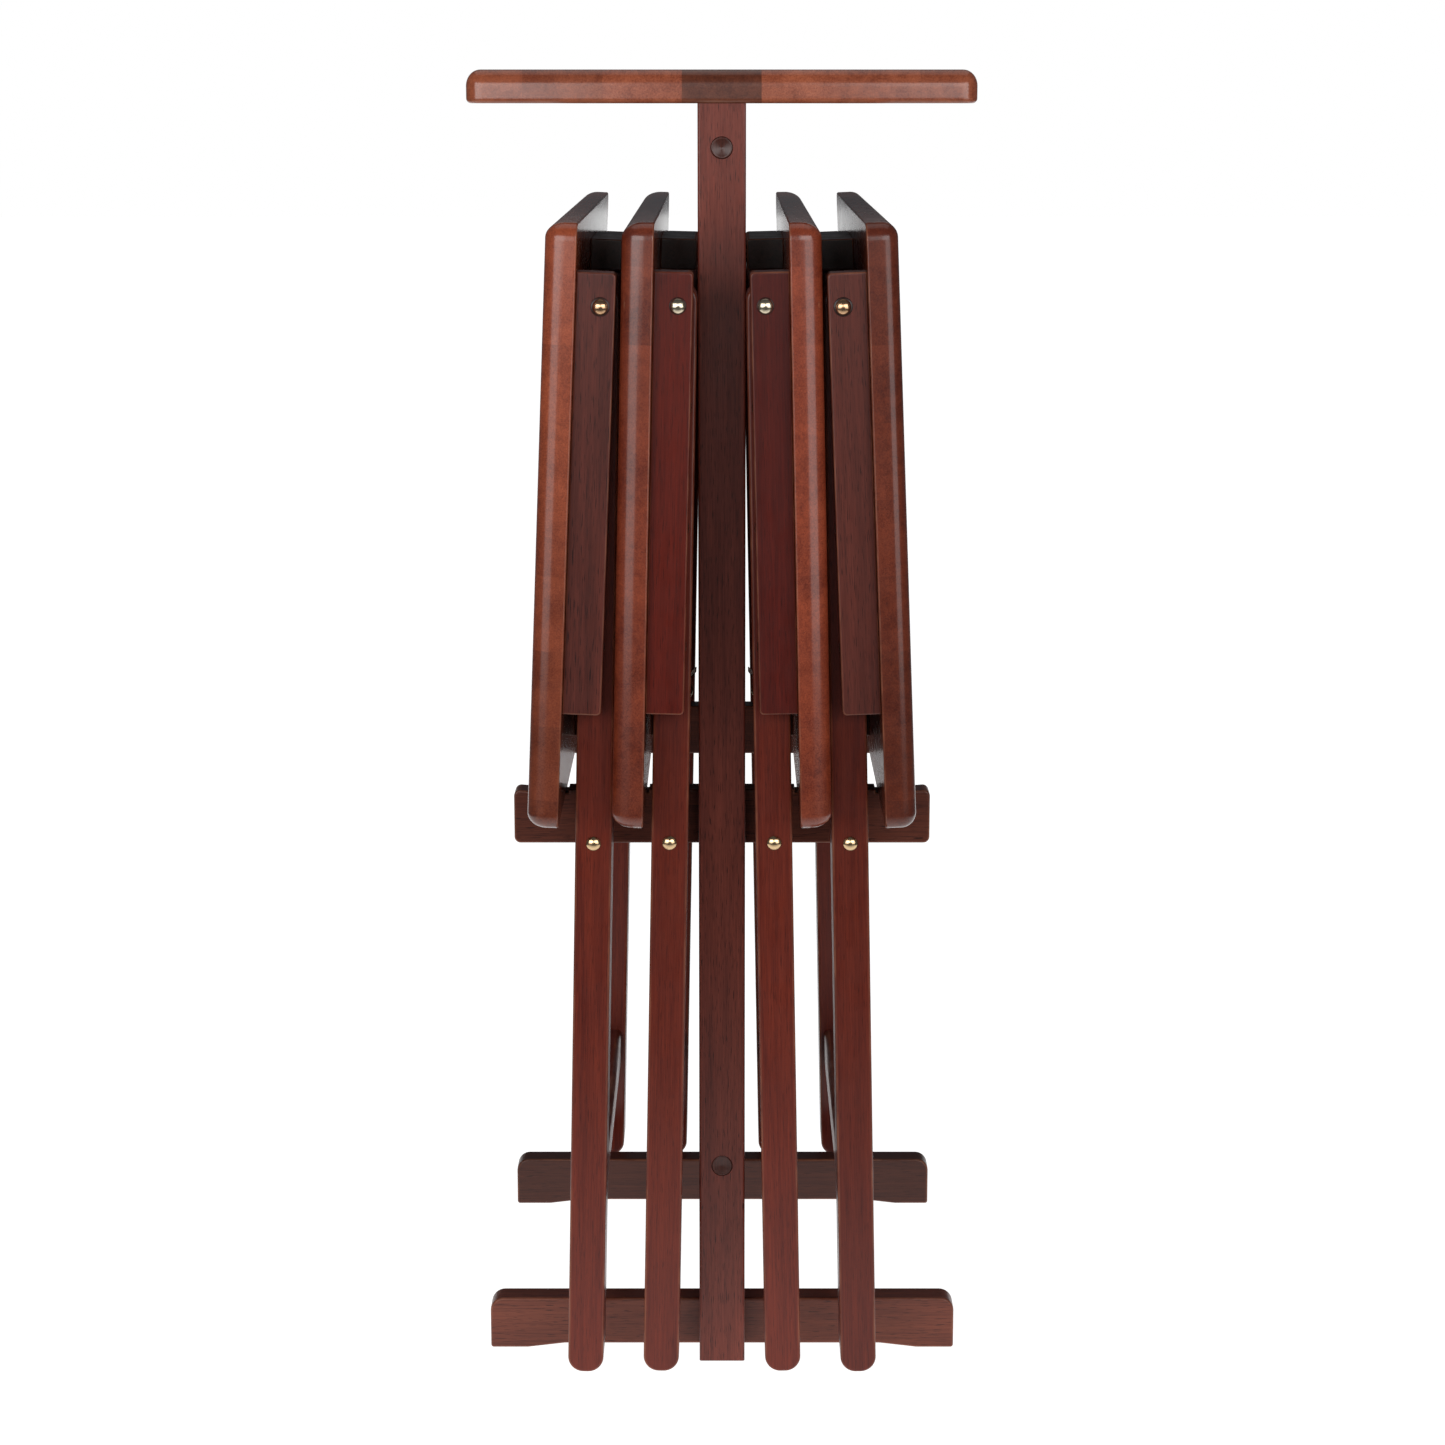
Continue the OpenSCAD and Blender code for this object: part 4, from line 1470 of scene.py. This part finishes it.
    def make_bolts(self) -> None:
        """The bolts that the top and the legs turn on, with thin dark rings behind the upper
        heads as painted shade round them, and the inserts that take the lower ones."""
        batten_face = self.batten_y0 + self.batten_t
        self.add("top_bolts", self.bolt_pair(batten_face, self.batten_t + self.leg_t),
                 self.top_place, COPPERY if self.is_outer else PALE_BRASS, "top",
                 "top_pivots")
        # A thin near-black ring behind each upper head is painted shade, wider on the outer
        # tables.
        rim = self.head_r + (self.outer_shade_ring_rim if self.is_outer else self.shade_ring_rim)
        ring = np.array([[self.pin_r, -self.shade_ring_t], [rim - self.shade_ring_t, -self.shade_ring_t],
                         [rim, 0.0], [self.pin_r, 0.0]])
        shade_ring = turned_piece(ring, 44).moved(y=-batten_face)
        self.add("bolt_shade_rings", both_ends(shade_ring), self.top_place, SHADE_BLACK, "top",
                 cut=self.cut(Grain.ALONG_X, 9.0))
        self.add("middle_bolts", self.bolt_pair(self.outer_y0 + self.leg_t,
                                                self.leg_t + self.pivot_gap),
                 self.leg_place, BRASS, "pivots", "leg_pivots")
        self.dress("leg_inserts", BRASS)

    def make_small_screws(self) -> None:
        """Screws in the battens, the blocks and the clips, all with their faces down."""
        wood = cross_head(*self.wood_screw).turned(FACE_DOWN)
        fine = cross_head(*self.clip_screw).turned(FACE_DOWN)
        batten_y, z = self.batten_y0 + self.batten_t / 2, self.pivot_drop - self.batten_h
        blocks = (self.rest_x - self.rest_w / 2, self.latch_x + self.latch_w / 2)
        clips = (-self.crossbar_r - self.clip_screw_x,
                 self.open_x + self.crossbar_r + self.clip_screw_x)

        def rows(head: Shell, places: Sequence[float], y: float, z: float) -> list[Shell]:
            """Screws at places along the top, in one row at -y and one at +y."""
            return [head.moved(x=x, y=s * y, z=z) for s in (-1, 1) for x in places]

        heads = (rows(wood, self.batten_screws, batten_y, z)
                 + rows(wood, blocks, self.block_screw_y, -self.block_face))
        self.add("wood_screws", joined(heads), self.top_place, BRONZED, "top")
        pins = rows(fine, clips, self.clip_screw_y, -self.block_face - self.clip_t)
        self.add("clip_screws", joined(pins), self.top_place, STEEL, "top")


# ---- studio ----

@dataclass(frozen=True)
class Softbox:
    """A rectangular softbox.

    Attributes:
        name: Its name.
        place: Where it stands.
        aim: The point that it faces.
        size: Width and height in metres.
        power: Watts.
    """

    name: str
    place: Point
    aim: Point
    size: tuple[float, float]
    power: float

    def build(self) -> None:
        """Hangs the light and turns its face to its aim."""
        light = bpy.data.lights.new(self.name, "AREA")
        light.shape = "RECTANGLE"
        light.size, light.size_y = self.size
        light.energy = self.power
        lamp = bpy.data.objects.new(self.name, light)
        direction = Vector(self.aim) - Vector(self.place)
        lamp.matrix_world = (Matrix.Translation(Vector(self.place))
                             @ direction.to_track_quat("-Z", "Y").to_matrix().to_4x4())
        bpy.context.scene.collection.objects.link(lamp)


# Strong ones high in front, weak ones low in front, and a faint wide one overhead.
SOFTBOXES = (
    Softbox("softbox_left_high", (-1.05, -2.15, 1.14), (0, 0, 1.1), (1.9, 1.04), 27),
    Softbox("softbox_left_low", (-1.33, -1.95, 0.36), (0, 0, 0.5), (1.45, 0.5), 4.2),
    Softbox("softbox_right_high", (1.05, -2.15, 1.21), (0, 0, 1.1), (1.9, 0.9), 22),
    Softbox("softbox_right_low", (1.40, -1.90, 0.42), (0, 0, 0.5), (1.40, 0.64), 6.2),
    Softbox("softbox_top", (0.0, 0.8, 3.4), (0, 0, 0), (3.4, 3.0), 18),
)


@dataclass
class Studio:
    """The pale floor, the room, the lights and the camera, in metres.

    The floor's own light rises from glow_front at its front edge to glow_full at
    glow_end, so that glossy faces reflect a floor that fades towards the viewer.
    """

    floor_front: float = 0.95
    floor_back: float = 16.0
    floor_half: float = 0.75
    floor_spread: float = 0.25
    floor_drop: float = 0.0002
    floor_side: int = 5
    glow_front: float = 0.1
    glow_full: float = 1.02
    glow_end: float = -0.28
    paper: tuple[float, float] = (0.36, 0.40)
    room: Colour = (0.9, 0.94, 1.0)
    room_light: float = 0.09
    lens: float = 74.27
    sensor: float = 36.0
    shift: tuple[float, float] = (-0.0024, -0.057)
    eye: Point = (0.0026, -2.035, 0.848)
    tilt_down: float = 10.76

    def build(self) -> None:
        """Makes the stage, the lights and the camera."""
        self.make_floor()
        self.make_world()
        for softbox in SOFTBOXES:
            softbox.build()
        self.make_camera()

    def make_floor(self) -> None:
        """A flat pale sheet on the floor, a grid of points that gets wider to the back.

        Its half width at y is floor_half + floor_spread * y, and floor_half in front of
        y = 0.
        """
        side = self.floor_side
        x, y = np.meshgrid(np.linspace(-1, 1, side),
                           np.linspace(-self.floor_front, self.floor_back, side))
        x *= self.floor_half + self.floor_spread * np.maximum(y, 0.0)
        z = np.full_like(x, -self.floor_drop)
        first = np.arange(side - 1)[:, None] * side + np.arange(side - 1)
        faces = first.reshape(-1, 1) + np.array([[0, 1, side + 1, side]])
        mesh = bpy.data.meshes.new("studio_floor")
        mesh.from_pydata(np.stack([x, y, z], axis=2).reshape(-1, 3).tolist(), [],
                         faces.tolist())
        mesh.materials.append(self.floor_material())
        floor = bpy.data.objects.new("studio_floor", mesh)
        bpy.context.scene.collection.objects.link(floor)

    def floor_material(self) -> Material:
        """Pale paper that looks white itself, fades to the front in reflections, and is
        clear from below.

        Returns:
            The material.
        """
        material = bpy.data.materials.new("studio_paper")
        n = Nodes.emptied(material)
        place = n.add("TexCoord").outputs["Object"]
        patch = n.noise(n.scaled(place, (3.0, 3.0, 3.0)), 2.0)
        colour = n.mix(patch, *((grey,) * 3 + (1,) for grey in self.paper))
        split = n.add("SeparateXYZ", inputs={0: place})
        glow = n.ramp(split.outputs[1], -self.floor_front, self.glow_end, self.glow_front,
                      self.glow_full)
        seen = n.add("LightPath").outputs["Is Camera Ray"]
        shader = n.add("BsdfPrincipled", inputs={
            "Base Color": colour, "Roughness": 0.9, "Specular IOR Level": 0.0,
            "Emission Color": n.grey(n.math("MAXIMUM", glow, seen)),
            "Emission Strength": 1.0})
        clear = n.add("BsdfTransparent", inputs={"Color": (1, 1, 1, 1)})
        below = n.add("NewGeometry").outputs["Backfacing"]
        n.surface(n.add("MixShader", inputs={0: below, 1: shader.outputs[0],
                                             2: clear.outputs[0]}))
        return material

    def make_world(self) -> None:
        """A dim room round a white backdrop, which only the direct view sees."""
        world = bpy.data.worlds.new("studio_world")
        n = Nodes.emptied(world)
        room = n.add("Background", inputs={"Color": (*self.room, 1),
                                           "Strength": self.room_light})
        backdrop = n.add("Background", inputs={"Color": (1, 1, 1, 1), "Strength": 1.0})
        seen = n.add("LightPath").outputs["Is Camera Ray"]
        n.surface(n.add("MixShader", inputs={
            0: seen, 1: room.outputs[0], 2: backdrop.outputs[0]}), "OutputWorld")
        bpy.context.scene.world = world

    def make_camera(self) -> None:
        """The camera, a little above the stand's top and tilted down."""
        data = bpy.data.cameras.new("camera")
        data.lens = self.lens
        data.sensor_width = self.sensor
        data.shift_x, data.shift_y = self.shift
        camera = bpy.data.objects.new("camera", data)
        camera.location = self.eye
        camera.rotation_euler = (math.radians(90 - self.tilt_down), 0, 0)
        bpy.context.scene.collection.objects.link(camera)
        bpy.context.scene.camera = camera


def main() -> None:
    """Builds the stand, the four tables and the studio."""
    logging.basicConfig(level=logging.INFO, format="%(message)s")
    bpy.context.scene.view_settings.view_transform = "Standard"
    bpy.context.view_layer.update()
    Studio().build()
    shop = Workshop.open()
    tables = (
        TrayTable(shop, 1, ORANGE_BOARD, RED_BROWN, PLUM, top_drop=12.0),
        TrayTable(shop, 2, RED_BOARD, RED_BROWN, DEEP_RED, tone=0.9),
        TrayTable(shop, 3, WARM_BOARD, RED_BROWN, WINE_RED),
        TrayTable(shop, 4, DARK_BOARD, RED_BROWN, PLUM, tone=0.82, top_drop=9.5),
    )
    right_side = tables[2:]
    Stand(shop, [table.notch_wall() for table in right_side]).build()
    for table in tables:
        table.build()


if __name__ == "__main__":
    main()
